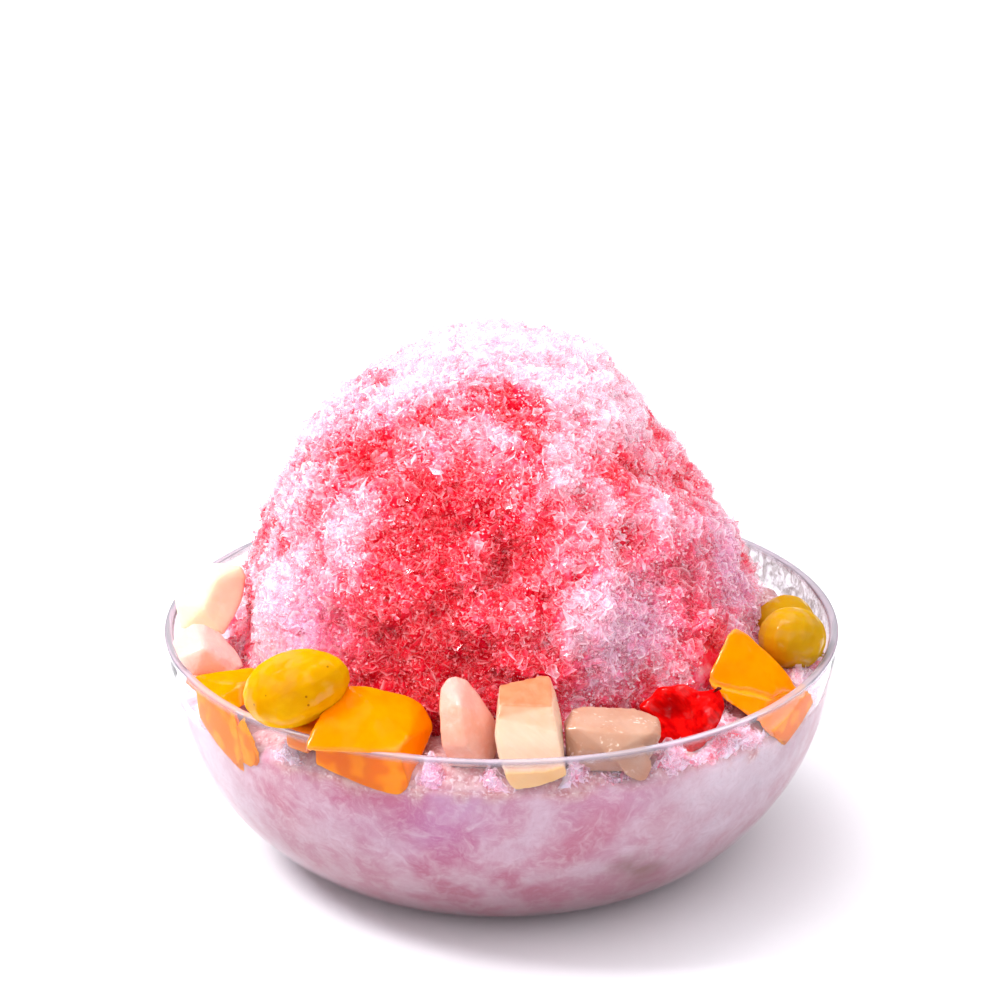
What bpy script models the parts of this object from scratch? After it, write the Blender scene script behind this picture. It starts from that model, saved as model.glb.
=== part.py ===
"""Bowl of shaved ice: a clear turned bowl, one heap of shaved ice and a ring of cut fruit.

Metres, +Z up. The origin is the centre of the bowl's underside, and the bowl stands on z = 0. The fruit
that shows most lies on the -Y side. Angles round the bowl are in degrees, counted from +X towards +Y.
"""

import math

import bmesh
import bpy
from mathutils import Vector, noise

# Driving dimensions of the bowl
RIM_RADIUS = 0.075
BOWL_HEIGHT = 0.052
BASE_RADIUS = 0.0395
WALL = 0.002
RIM_ROUNDING = 0.0006
SIDE_SWEEP = 2.0  # how soon the side turns upright
SIDE_ROUNDING = 1.7  # how round the side meets the base
SEGMENTS = 56
SIDE_RINGS = 10

# Driving dimensions of the ice
HEAP_TOP = 0.1210
LEDGE_HEIGHT = 0.0435  # mean height of the ice where it meets the bowl
LEDGE_SLANT = 0.0020  # how much higher it lies at its highest side, and lower at the other
LEDGE_HIGH_SIDE = -60.0  # degrees
LEDGE_RADIUS = 0.0655  # middle of the ring of ice between heap and bowl
LEDGE_RISE = 0.0008  # from the bowl to that middle
HEAP_RINGS = 12
LUMP_SIZE = 0.015
LUMP_HEIGHT = 0.0022

# The heap's outline: heights above the base, and how far it reaches to each side there
HEAP_HEIGHTS = (0.0455, 0.060, 0.070, 0.080, 0.090, 0.100, 0.108, 0.1150, 0.119)
HEAP_LEFT = (0.0590, 0.0575, 0.0555, 0.0492, 0.0470, 0.0402, 0.0265, 0.0190, 0.0125)
HEAP_RIGHT = (0.0590, 0.0570, 0.0515, 0.0460, 0.0372, 0.0292, 0.0262, 0.0195, 0.0120)
HEAP_FRONT = (0.0555, 0.0545, 0.0515, 0.0465, 0.0410, 0.0340, 0.0265, 0.0190, 0.0120)
HEAP_BACK = (0.0570, 0.0550, 0.0520, 0.0475, 0.0420, 0.0345, 0.0265, 0.0190, 0.0120)

# The fruit, whose own sizes are in fruit
MM = 0.001
GRAPE_TAPER = 0.08
CHERRY_HOLLOW = 0.66
FRUIT_COLOURS = {
    "mango": (1.0, 0.38, 0.0),
    "grape": (0.80, 0.45, 0.05),
    "peach": (1.0, 0.62, 0.50),
    "pear": (1.0, 0.78, 0.58),
    "cherry": (0.75, 0.0, 0.01),
}

GAP = 0.0003  # between pieces that touch
BED_SLACK = 1.25  # worn edges lean the normals, so a bed grows by this times the gap
CUTTER_REACH = 0.150


def principled(name, colour, roughness, transmission=0.0):
    material = bpy.data.materials.new(name)
    material.use_nodes = True
    shader = material.node_tree.nodes["Principled BSDF"]
    shader.inputs["Base Color"].default_value = (*colour, 1.0)
    shader.inputs["Roughness"].default_value = roughness
    shader.inputs["Metallic"].default_value = 0.0
    shader.inputs["Transmission Weight"].default_value = transmission
    return material


def new_object(name, mesh, material=None):
    obj = bpy.data.objects.new(name, mesh)
    bpy.context.scene.collection.objects.link(obj)
    if material:
        mesh.materials.append(material)
    return obj


def mesh_from(bm, name):
    bmesh.ops.recalc_face_normals(bm, faces=bm.faces[:])
    mesh = bpy.data.meshes.new(name)
    bm.to_mesh(mesh)
    bm.free()
    return mesh


def as_cutter(obj):
    obj.hide_render = True
    obj.display_type = "WIRE"
    return obj


def add_boolean(obj, cutter, operation):
    modifier = obj.modifiers.new(operation.lower() + "_" + cutter.name, "BOOLEAN")
    modifier.operation = operation
    modifier.solver = "EXACT"
    modifier.object = cutter


# ---------------------------------------------------------------- turned shapes


def side_point(height, inset=0.0):
    """A point (radius, height) of the bowl's side, moved inwards, square to the side, by inset."""

    def outer(z):
        rise = 1 - (1 - z / BOWL_HEIGHT) ** SIDE_SWEEP
        return BASE_RADIUS + (RIM_RADIUS - BASE_RADIUS) * rise ** (1 / SIDE_ROUNDING)

    step = 1e-5
    low, high = max(height - step, 0.0), min(height + step, BOWL_HEIGHT)
    along = Vector((outer(high) - outer(low), high - low)).normalized()
    return Vector((outer(height) - inset * along.y, height + inset * along.x))


def side_height(share):
    """Heights of the side's rings: close together near the base, where the side curves most."""
    return BOWL_HEIGHT * share**1.8


def inner_wall(height, inset):
    """The point of the inner wall, moved inwards by inset, that lies at this height."""
    low, high = 0.0, BOWL_HEIGHT
    for _ in range(40):
        middle = (low + high) / 2
        if side_point(middle, WALL + inset).y < height:
            low = middle
        else:
            high = middle
    return Vector((side_point(low, WALL + inset).x, height))


def turned(name, profile):
    """Turns a profile of (radius, height) points round Z. Points on the axis become poles."""
    bm = bmesh.new()
    rings = []
    for radius, height in profile:
        if radius < 1e-7:
            rings.append([bm.verts.new((0, 0, height))])
            continue
        ring = []
        for i in range(SEGMENTS):
            angle = 2 * math.pi * i / SEGMENTS
            ring.append(bm.verts.new((radius * math.cos(angle), radius * math.sin(angle), height)))
        rings.append(ring)
    join_rings(bm, rings)
    return mesh_from(bm, name)


def join_rings(bm, rings, around=SEGMENTS):
    """Closes each ring to the next with faces. A ring of one point is a pole."""
    for low, high in zip(rings, rings[1:]):
        for i in range(around):
            corners = [low[i % len(low)], low[(i + 1) % len(low)]]
            corners += [high[(i + 1) % len(high)], high[i % len(high)]]
            unique = list(dict.fromkeys(corners))
            if len(unique) > 2:
                bm.faces.new(unique)


def build_bowl():
    shares = [i / SIDE_RINGS for i in range(SIDE_RINGS)]
    outer = [side_point(side_height(share)) for share in shares]
    top = BOWL_HEIGHT
    rim = [
        (RIM_RADIUS, top - RIM_ROUNDING),
        (RIM_RADIUS - RIM_ROUNDING * 0.4, top),
        (RIM_RADIUS - WALL + RIM_ROUNDING * 0.4, top),
        (RIM_RADIUS - WALL, top - RIM_ROUNDING),
    ]
    floor = inner_wall(WALL * 1.25, 0.0)
    inner = [side_point(side_height(share), WALL) for share in shares]
    inner = [point for point in inner if point.y > floor.y + WALL * 0.2]
    profile = [(0, 0)] + [tuple(p) for p in outer] + rim
    profile += [tuple(p) for p in reversed(inner)] + [tuple(floor), (0, floor.y)]
    clear_plastic = principled("clear_plastic", (0.93, 0.92, 0.96), 0.05, 0.9)
    return new_object("bowl", turned("bowl", profile), clear_plastic)


def build_cavity():
    """The room inside the bowl, less the gap, opening out above the rim. Fruit is kept inside it."""
    floor = inner_wall(WALL * 1.25 + GAP, GAP)
    heights = [side_height(i / SIDE_RINGS) for i in range(SIDE_RINGS)]
    wall = [side_point(height, WALL + GAP) for height in heights]
    wall = [tuple(point) for point in wall if point.y > floor.y + WALL * 0.2]
    rim = BOWL_HEIGHT + GAP
    profile = [(0, floor.y), tuple(floor)] + wall
    profile += [(RIM_RADIUS - WALL - GAP, rim), (CUTTER_REACH, rim)]
    profile += [(CUTTER_REACH, CUTTER_REACH), (0, CUTTER_REACH)]
    return as_cutter(new_object("cavity", turned("cavity", profile)))


# ---------------------------------------------------------------- shaved ice


def smooth_between(values, stations, at):
    """A smooth curve through the values at their stations."""
    last = len(stations) - 1
    at = min(max(at, stations[0]), stations[last])
    i = max(k for k in range(last) if stations[k] <= at)
    before, after = max(i - 1, 0), min(i + 2, last)
    span = stations[i + 1] - stations[i]
    t = (at - stations[i]) / span
    slope_in = (values[i + 1] - values[before]) / (stations[i + 1] - stations[before]) * span
    slope_out = (values[after] - values[i]) / (stations[after] - stations[i]) * span
    return (
        values[i] * (2 * t**3 - 3 * t**2 + 1)
        + slope_in * (t**3 - 2 * t**2 + t)
        + values[i + 1] * (3 * t**2 - 2 * t**3)
        + slope_out * (t**3 - t**2)
    )


def heap_radius(height, angle):
    """How far the heap reaches at this height, towards this angle in radians."""
    sideways = HEAP_RIGHT if math.cos(angle) > 0 else HEAP_LEFT
    lengthways = HEAP_BACK if math.sin(angle) > 0 else HEAP_FRONT
    a = smooth_between(sideways, HEAP_HEIGHTS, height)
    b = smooth_between(lengthways, HEAP_HEIGHTS, height)
    return a * b / math.hypot(b * math.cos(angle), a * math.sin(angle))


def lump(point):
    """How far the heap stands out here, from noise fixed in space."""
    coarse, fine = noise.noise(point / LUMP_SIZE), noise.noise(point * 2.3 / LUMP_SIZE)
    return LUMP_HEIGHT * (coarse + 0.4 * fine)


def ice_ring(bm, radius_at, height_at, lumpy):
    ring = []
    for i in range(SEGMENTS):
        angle = 2 * math.pi * i / SEGMENTS
        way = Vector((math.cos(angle), math.sin(angle), 0))
        point = way * radius_at(angle) + Vector((0, 0, height_at(angle)))
        if lumpy:
            point += way * lump(point)
        ring.append(bm.verts.new(point))
    return ring


def build_ice():
    bm = bmesh.new()
    floor = inner_wall(WALL * 1.25 + GAP, GAP)
    heights = [side_height(i / SIDE_RINGS) for i in range(SIDE_RINGS)]
    wall = [side_point(height, WALL + GAP) for height in heights]
    wall = [point for point in wall if floor.y + WALL * 0.2 < point.y < LEDGE_HEIGHT - 2 * LEDGE_SLANT]

    rings = [[bm.verts.new((0, 0, floor.y))]]
    for point in [floor] + wall:
        rings.append(ice_ring(bm, lambda angle: point.x, lambda angle: point.y, False))

    def ledge(angle):
        return LEDGE_HEIGHT + LEDGE_SLANT * math.cos(angle - math.radians(LEDGE_HIGH_SIDE))

    rings.append(ice_ring(bm, lambda angle: inner_wall(ledge(angle), GAP).x, ledge, False))
    rings.append(
        ice_ring(bm, lambda angle: LEDGE_RADIUS, lambda angle: ledge(angle) + LEDGE_RISE, True)
    )
    bottom, top = HEAP_HEIGHTS[0], HEAP_HEIGHTS[-1]
    for i in range(HEAP_RINGS):
        height = bottom + (top - bottom) * math.sin(math.pi / 2 * i / (HEAP_RINGS - 1)) ** 1.15
        rings.append(
            ice_ring(bm, lambda angle: heap_radius(height, angle), lambda angle: height, True)
        )
    rings.append([bm.verts.new((-0.001, 0.001, HEAP_TOP))])
    join_rings(bm, rings)
    syrup_ice = principled("shaved_ice_with_syrup", (0.92, 0.36, 0.45), 0.35)
    return new_object("shaved_ice", mesh_from(bm, "shaved_ice"), syrup_ice)


# ---------------------------------------------------------------- fruit


def ring_place(angle, radius, height):
    """A place in the ring of fruit, from its angle in degrees and its distances in millimetres."""
    turn = math.radians(angle)
    return Vector((radius * math.cos(turn), radius * math.sin(turn), height)) * MM


def settle(obj, place, turn):
    """Rolls a piece about the way it faces (-Y), tilts it, faces it round and puts it in its place."""
    obj.rotation_mode = "YXZ"
    obj.rotation_euler = [math.radians(angle) for angle in turn]
    obj.location = ring_place(*place)
    return obj


def block(name, size, top=(1.0, 1.0), lean=(0.0, 0.0), worn=1.8):
    """A cut block of fruit. top scales its upper face, lean shifts that face, worn rounds its edges."""
    bm = bmesh.new()
    bmesh.ops.create_cube(bm, size=1.0)
    for vert in bm.verts:
        x, y, z = (part * length for part, length in zip(vert.co, size))
        if z > 0:
            x, y = x * top[0] + lean[0], y * top[1] + lean[1]
        vert.co = Vector((x, y, z)) * MM
    bmesh.ops.bevel(
        bm,
        geom=bm.edges[:],
        offset=worn * MM,
        segments=2,
        profile=0.5,
        affect="EDGES",
        clamp_overlap=True,
    )
    return mesh_from(bm, name)


def berry(name, half):
    """A grape: an oval that is a little narrower at its stalk end."""
    bm = bmesh.new()
    bmesh.ops.create_uvsphere(bm, u_segments=16, v_segments=10, radius=1.0)
    for vert in bm.verts:
        x, y, z = vert.co
        waist = 1 - GRAPE_TAPER * x
        vert.co = Vector((x * half[0], y * waist * half[1], z * waist * half[2])) * MM
    return mesh_from(bm, name)


def cup(name, half):
    """A halved and stoned cherry: an oval cut across, scooped out and open towards +Z."""
    bm = bmesh.new()
    around, down = 18, 4
    shells = []
    for scale in (1.0, CHERRY_HOLLOW):
        shell = []
        for i in range(down):
            slope = math.pi / 2 * i / down
            ring = []
            for k in range(around):
                angle = 2 * math.pi * k / around
                x, y = math.cos(angle) * math.cos(slope), math.sin(angle) * math.cos(slope)
                unit = Vector((x, y, -math.sin(slope)))
                ring.append(bm.verts.new(unit * Vector(half) * scale * MM))
            shell.append(ring)
        shell.append([bm.verts.new((0, 0, -half[2] * scale * MM))])
        shells.append(shell)
    outside, inside = shells
    for rings in (outside, inside, [outside[0], inside[0]]):
        join_rings(bm, rings, around)
    return mesh_from(bm, name)


def fruit():
    """Every piece of fruit, by kind: its mesh, with sizes in millimetres, then its place and turn.

    A place is (angle, distance from the axis, height), and a turn is (tilt, roll, yaw) in degrees.
    """
    mango = [
        (block("mango_chunk_left", (17, 12, 18)), (-144, 68, 46), (0, -16, -54)),
        (block("mango_lobe_left", (6, 6.5, 10), worn=2), (-132.8, 69, 44), (0, 0, -43)),
        (block("mango_sliver", (8, 12, 6), worn=1.2), (-125.6, 65.5, 49.2), (0, 0, -36)),
        (block("mango_cube", (24, 13, 16), worn=2), (-113, 68, 51), (-35, 12, -18)),
        (
            block("mango_wedge_right", (24.5, 10, 14), top=(0.9, 0.9), worn=1.5),
            (-34.6, 65.2, 50.8),
            (-22, 47, 45),
        ),
        (block("mango_cube_back", (20, 13, 14), worn=2), (60, 64, 51), (25, 8, -30)),
    ]
    grape = [
        (berry("grape_left", (11.5, 7.8, 7.8)), (-126.4, 71, 60.4), (0, -20, 0)),
        (berry("grape_right_front", (10, 7, 7)), (-18, 66.5, 55.5), (0, 20, 60)),
        (berry("grape_right_back", (10, 7, 7)), (-4.5, 63, 51.5), (0, 0, 70)),
        (berry("grape_back", (11, 7.6, 7.6)), (95.5, 63, 53), (0, 10, 0)),
    ]
    peach = [
        (
            block("peach_wedge_left", (17, 12, 14), top=(0.6, 0.6), worn=3.5),
            (-158.5, 66, 53.8),
            (10, 8, 25),
        ),
        (
            block("peach_wedge_front", (13.3, 9, 18.3), top=(0.5, 0.6), lean=(-2.4, 0), worn=3),
            (-96.3, 64.5, 57.2),
            (-38, -4, 0),
        ),
        (
            block("peach_wedge_back", (14, 10, 17), top=(0.55, 0.6), worn=3),
            (133, 64, 54),
            (25, 0, 41),
        ),
    ]
    pear = [
        (block("melon_chunk", (16, 15, 17), top=(0.92, 0.9)), (-174, 64.2, 56.3), (0, 0, 15)),
        (
            block("pear_block_front", (13.5, 10, 21.5), top=(0.8, 1), worn=1.2),
            (-84.4, 64.5, 54),
            (-30, 2, 4),
        ),
        (block("pear_block_right", (21, 9, 10), worn=2), (-70, 66.3, 51.6), (-20, 8, 15)),
        (block("pear_block_back", (14, 10, 16), worn=1.2), (78, 64, 53), (25, 0, -12)),
    ]
    cherry = [
        (cup("cherry_half", (9.1, 8.2, 8.2)), (-55.6, 66, 53.2), (45, 0, 20)),
        (cup("cherry_half_back", (9.3, 8, 8.5)), (114.5, 63, 56), (-45, 0, 24)),
    ]
    return {"mango": mango, "grape": grape, "peach": peach, "pear": pear, "cherry": cherry}


# Pieces that press on each other: the second gives way to the first
PRESSED = (
    ("grape_left", "mango_cube"),
    ("mango_cube", "mango_sliver"),
    ("pear_block_front", "pear_block_right"),
    ("pear_block_right", "cherry_half"),
    ("cherry_half", "mango_wedge_right"),
    ("grape_right_front", "grape_right_back"),
)


def bed_of(mesh):
    """A cutter for the bed that a piece lies in: its mesh grown by a little over the gap."""
    bm = bmesh.new()
    bm.from_mesh(mesh)
    bm.normal_update()
    for vert in bm.verts:
        vert.co += vert.normal * GAP * BED_SLACK
    return as_cutter(new_object(mesh.name + "_bed", mesh_from(bm, mesh.name + "_bed")))


def main():
    for old in list(bpy.data.objects):
        bpy.data.objects.remove(old, do_unlink=True)
    build_bowl()
    cavity = build_cavity()
    ice = build_ice()
    pieces, beds = {}, {}
    for kind, settled in fruit().items():
        look = principled(kind, FRUIT_COLOURS[kind], 0.25)
        for mesh, place, turn in settled:
            name = mesh.name
            beds[name] = settle(bed_of(mesh), place, turn)
            add_boolean(ice, beds[name], "DIFFERENCE")
            pieces[name] = settle(new_object(name, mesh, look), place, turn)
            add_boolean(pieces[name], cavity, "INTERSECT")
    for front, back in PRESSED:
        add_boolean(pieces[back], beds[front], "DIFFERENCE")


main()
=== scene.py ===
"""The looks of a bowl of shaved ice: a clear rippled bowl, a tall heap of wet ice and a ring of cut fruit."""

import itertools
import math

import bmesh
import bpy
import numpy as np
from mathutils import Euler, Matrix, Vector
from mathutils.bvhtree import BVHTree


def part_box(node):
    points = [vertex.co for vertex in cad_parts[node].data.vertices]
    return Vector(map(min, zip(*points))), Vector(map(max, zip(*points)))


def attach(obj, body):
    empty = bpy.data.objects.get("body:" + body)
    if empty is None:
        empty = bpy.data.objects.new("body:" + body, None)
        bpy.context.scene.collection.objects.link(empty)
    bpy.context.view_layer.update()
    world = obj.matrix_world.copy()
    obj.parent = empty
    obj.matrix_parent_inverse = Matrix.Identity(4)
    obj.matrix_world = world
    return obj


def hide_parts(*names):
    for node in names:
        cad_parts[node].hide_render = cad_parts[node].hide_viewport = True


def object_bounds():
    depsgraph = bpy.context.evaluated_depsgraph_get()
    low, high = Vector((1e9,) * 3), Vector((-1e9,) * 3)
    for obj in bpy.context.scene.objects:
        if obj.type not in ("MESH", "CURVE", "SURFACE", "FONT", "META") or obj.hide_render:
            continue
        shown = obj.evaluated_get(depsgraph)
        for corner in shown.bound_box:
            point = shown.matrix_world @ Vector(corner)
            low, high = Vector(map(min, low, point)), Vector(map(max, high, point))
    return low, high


bl_info = {
    "name": "Bowl of Shaved Ice",
    "version": (1, 0, 0),
    "blender": (4, 5, 0),
    "location": "3D View > Sidebar > Shaved Ice",
    "description": "Dresses the packed model of a bowl of shaved ice with cut fruit",
    "category": "Object",
}

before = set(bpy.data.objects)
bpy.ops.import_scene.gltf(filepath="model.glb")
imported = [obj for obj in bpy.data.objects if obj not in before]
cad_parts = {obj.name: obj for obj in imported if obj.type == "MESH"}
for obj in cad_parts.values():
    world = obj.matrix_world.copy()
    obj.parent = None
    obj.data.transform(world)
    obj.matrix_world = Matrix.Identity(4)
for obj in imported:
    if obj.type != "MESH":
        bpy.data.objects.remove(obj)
CAD_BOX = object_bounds()

MM = 0.001
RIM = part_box("bowl")[1].x  # outer radius of the bowl at its rim
BOWL_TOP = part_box("bowl")[1].z
FOOT = 0.0395  # outer radius of the bowl's underside
WALL = 0.002  # thickness of the bowl's wall
SIDE_SWEEP, SIDE_ROUNDING = 2.0, 1.7  # how the bowl's side flares out and turns upright
FRUIT_VOXEL = 0.0004  # size of the smallest relief on the fruit

# How far each kind of fruit is worn, in rounds of smoothing, and how deep its dents are, in millimetres
WEAR = {
    "mango": (12, 0.16),
    "grape": (8, 0.10),
    "peach": (12, 0.22),
    "pear": (3, 0.09),
    "melon": (18, 0.12),
}

# Fruit that is duller, and fruit that is paler, than the rest of its kind
BEIGE = ("pear_block_right", "pear_block_back", "grape_right_front", "grape_right_back")
PALER = ("melon_chunk", "peach_wedge_left")
FRUIT = [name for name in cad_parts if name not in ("bowl", "shaved_ice")]


# ------------------------------------------------------------------ noise fixed in space


def scrambled(cells, seed):
    """A number from 0 to 1 for each whole-numbered cell. The large factors only mix its bits."""
    key = cells[..., 0] * 73856093 ^ cells[..., 1] * 19349663 ^ cells[..., 2] * 83492791
    key = (key ^ (seed * 40503 + 977) * 6151) & 0xFFFFFFFF
    key = ((key ^ key >> 15) * 739982445) & 0xFFFFFFFF
    key = ((key ^ key >> 12) * 695872825) & 0xFFFFFFFF
    return ((key ^ key >> 15) & 0xFFFFFF) / 0xFFFFFF


def swell(points, size, seed):
    """Soft noise from -1 to 1 with lumps of this size."""
    spot = points / size + seed * 7.13
    cell = np.floor(spot).astype(np.int64)
    part = spot - cell
    ease = part * part * part * (part * (part * 6 - 15) + 10)
    total = np.zeros(len(points))
    for corner in itertools.product((0, 1), repeat=3):
        share = np.where(corner, ease, 1 - ease).prod(axis=1)
        total += share * (scrambled(cell + corner, seed) * 2 - 1)
    return total


def shards(points, size, seed):
    """A mosaic of tilted facets, as broken ice has: their height, and how near a point is to an edge."""
    spot = points / size
    cell = np.floor(spot).astype(np.int64)
    nearest = np.full(len(points), 9.0)
    second = np.full(len(points), 9.0)
    height = np.zeros(len(points))
    for step in itertools.product((-1, 0, 1), repeat=3):
        there = cell + step
        jitter = np.stack([scrambled(there, seed + k) for k in (1, 2, 3)], axis=1)
        gap = spot - there - jitter
        away = np.linalg.norm(gap, axis=1)
        lean = np.stack([scrambled(there, seed + k) * 2 - 1 for k in (4, 5, 6)], axis=1)
        facet = (gap * lean).sum(axis=1) + scrambled(there, seed + 7) - 0.5
        closer = away < nearest
        second = np.where(closer, nearest, np.minimum(second, away))
        height = np.where(closer, facet, height)
        nearest = np.where(closer, away, nearest)
    return height, second - nearest


def fade(values, start, span):
    """0 at the start, 1 from the end of the span on and even between. A span below zero runs downwards."""
    return np.clip((values - start) / span, 0, 1)


def from_axis(points):
    return np.hypot(points[:, 0], points[:, 1])


def brought_to(points, chosen, radius):
    """Moves the chosen points straight towards or away from the axis, to this radius."""
    points[:, :2] *= np.where(chosen, radius / np.maximum(from_axis(points), 1e-6), 1)[:, None]


# ------------------------------------------------------------------ where the syrup ran

# Spots on the heap in millimetres (x, y, z), how far each spreads, and how much syrup it adds
SYRUP = (
    (5, -11, 119, 15, -0.55), (-2, 6, 116, 13, -0.45), (14, 6, 113, 11, -0.35), (-18, 6, 110, 11, -0.35),
    (-11, -8, 118, 12, -0.35), (21, -11, 112, 13, -0.50), (-25, -7, 109, 11, -0.25),
    (-38, 8, 100, 12, -0.20), (-44, -1, 94, 10, -0.30), (-7, -23, 110, 7, 0.30), (0, -21, 112, 7, 0.30),
    (6, -25, 108, 7, 0.40), (7, -32, 103, 5, 0.50), (-3, -28, 106, 5, -0.40), (50, -8, 74, 9, -0.12),
    (33, -36, 76, 8, -0.20), (-42, -30, 68, 9, -0.18), (38, -14, 86, 9, -0.12), (-18, -14, 112, 8, -0.10),
    (13, -31, 101, 7, -0.56), (24, -23, 96, 7, 0.40), (-31, -23, 99, 8, 0.42), (-18, -35, 94, 10, 0.45),
    (-12, -42, 86, 12, 0.45), (-17, -49, 68, 12, 0.68), (-15, -52, 59, 10, 0.60),
    (-32, -29, 91, 8, -0.26), (-47, -21, 75, 11, -0.32), (-48, -17, 78, 4, 0.50), (-31, -40, 74, 8, 0.28),
    (-41, -35, 65, 11, -0.15), (-52, -25, 57, 10, -0.40), (6, -45, 81, 14, 0.24), (1, -52, 66, 12, 0.34),
    (23, -47, 67, 12, -0.56), (-45, -32, 61, 9, -0.18), (36, -20, 90, 12, -0.10),
    (54, -10, 69, 11, -0.24), (12, -53, 60, 7, 0.10), (39, -29, 74, 5, 0.55), (45, -30, 63, 6, 0.55),
    (52, -18, 64, 9, -0.20), (16, -36, 89, 9, -0.08), (-25, -48, 61, 8, 0.25), (0, 24, 106, 9, 0.45),
    (12, 30, 99, 8, 0.30), (-20, 33, 88, 11, 0.38), (14, 42, 78, 13, 0.50), (-34, 40, 64, 11, -0.25),
    (38, 35, 63, 11, 0.10), (0, 53, 60, 11, 0.45), (26, 26, 93, 8, -0.40), (-27, 22, 97, 8, -0.35),
    (-52, 12, 66, 9, 0.20), (48, 16, 72, 8, 0.30),
)

# Where the ice is tinted lilac instead, on the heap and behind the wall of the bowl. The greyer spots on
# the heap's right flank, away from the key light, also stand in for shade there: painted shade
LILAC = (
    (-41, -35, 65, 12, 0.95), (31, -40, 70, 10, 0.70), (42, -24, 78, 11, 0.40), (54, -12, 64, 13, 0.85),
    (50, -8, 76, 9, 0.50), (24, -46, 66, 9, 0.40), (20, -50, 60, 8, 0.40), (-46, 30, 62, 10, 0.60),
    (30, 46, 58, 10, 0.60), (-13, -72, 39, 12, 0.90), (20, -69, 38, 14, 0.45), (-31, -67, 36, 12, 0.35),
    (-20, 70, 36, 14, 0.70), (50, 48, 36, 14, 0.50),
)

# What shows through the wall: pale ice, red runs and darker, browner patches near the floor
PALE = (
    (50, -54, 38, 18, 0.95), (60, -40, 40, 12, 0.60), (8, -73, 36, 8, 0.45), (-30, -67, 26, 9, 0.40),
    (44, -50, 22, 7, 0.55), (-63, -36, 34, 14, 0.90), (-40, -56, 24, 13, 0.40), (34, -66, 42, 14, 0.30),
    (22, -62, 22, 11, 0.40), (-4, -74, 45, 9, 0.25), (60, 30, 36, 18, 0.70), (-40, 58, 32, 16, 0.60),
)
RUNS = (
    (20, -69, 33, 8, 0.65), (33, -62, 30, 5, 0.60), (14, -68, 26, 5, 0.50), (-26, -70, 43, 9, 0.70),
    (-42, -60, 43, 8, 0.50), (-47, -54, 31, 5, 0.70), (-14, -71, 30, 9, 0.20), (-36, -55, 22, 11, 0.35),
    (30, 66, 38, 9, 0.60), (-8, 72, 30, 8, 0.50), (-66, 20, 34, 8, 0.40),
)
DULL = ((29, -59, 19, 5, 0.9), (-30, 58, 18, 6, 0.8))

# Where crumbs of ice lie heaped against the fruit: x, y, reach and height in millimetres
CRUMBS = (
    (62, -26, 6, 6.5), (67, -17, 5, 5.5), (45, -51, 5, 4.0), (35, -61, 4, 4.0), (14, -67, 3, 4.0),
    (-15, -67, 3, 4.5), (-2, -70, 3, 3.0), (-44, -51, 4, 3.5), (-60, 16, 6, 4.0), (40, 52, 5, 4.0),
    (-30, 60, 5, 3.0),
)


def spread(points, spots):
    """How much the spots add up to at points in millimetres. The spots' edges are ragged."""
    drift = np.stack([swell(points, 9.0, seed) * 3.2 for seed in (11, 12, 13)], axis=1)
    drift += np.stack([swell(points, 3.6, seed) * 1.7 for seed in (14, 15, 16)], axis=1)
    drift += np.stack([swell(points, 1.5, seed) * 0.7 for seed in (17, 18, 19)], axis=1)
    total = np.zeros(len(points))
    for x, y, z, reach, amount in spots:
        gap = np.linalg.norm(points + drift - (x, y, z), axis=1)
        total += amount * np.exp(-((gap / reach) ** 2) * 1.1)
    return total


def lumps(points):
    """How far the heap's clumps stand proud, or lie back below zero. Points and result in millimetres."""
    return 2.0 * swell(points, 9.0, 52) + 1.2 * swell(points, 4.2, 53)


def syrup_on_heap(points):
    """The share of syrup in the heap's ice at points in millimetres.

    It runs into the hollows, and little of it gets to the ice low down beside the wall. The hollows are
    also painted deeper red as painted shade, and the proud clumps whiter as a painted highlight.
    """
    level = 0.48 + spread(points, SYRUP)
    # Less syrup on proud clumps, more in hollows: a painted highlight on the clumps, painted shade in the
    # hollows
    level += 0.10 * swell(points, 6.5, 21) + 0.12 * swell(points, 2.8, 22) - 0.12 * lumps(points)
    level = 0.5 + (level - 0.5) * 1.12
    return level - 0.30 * fade(from_axis(points), 59, 7) * fade(points[:, 2], 56, -6)


# The camera, which stands where the photograph was taken from
EYE = Vector((-0.000335, -0.644196, 0.325883))
TILT = math.radians(69.097)  # 0 looks straight down, and 90 degrees looks level
LENS, SENSOR = 112.71, 36.0  # millimetres

# Enlarged parts of the photograph: where each begins, in its pixels from the left and the top, and how
# many times it is enlarged
FRONT, LEFT, RIGHT = (430, 660, 6.533), (140, 560, 5.227), (600, 520, 5.6)
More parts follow.
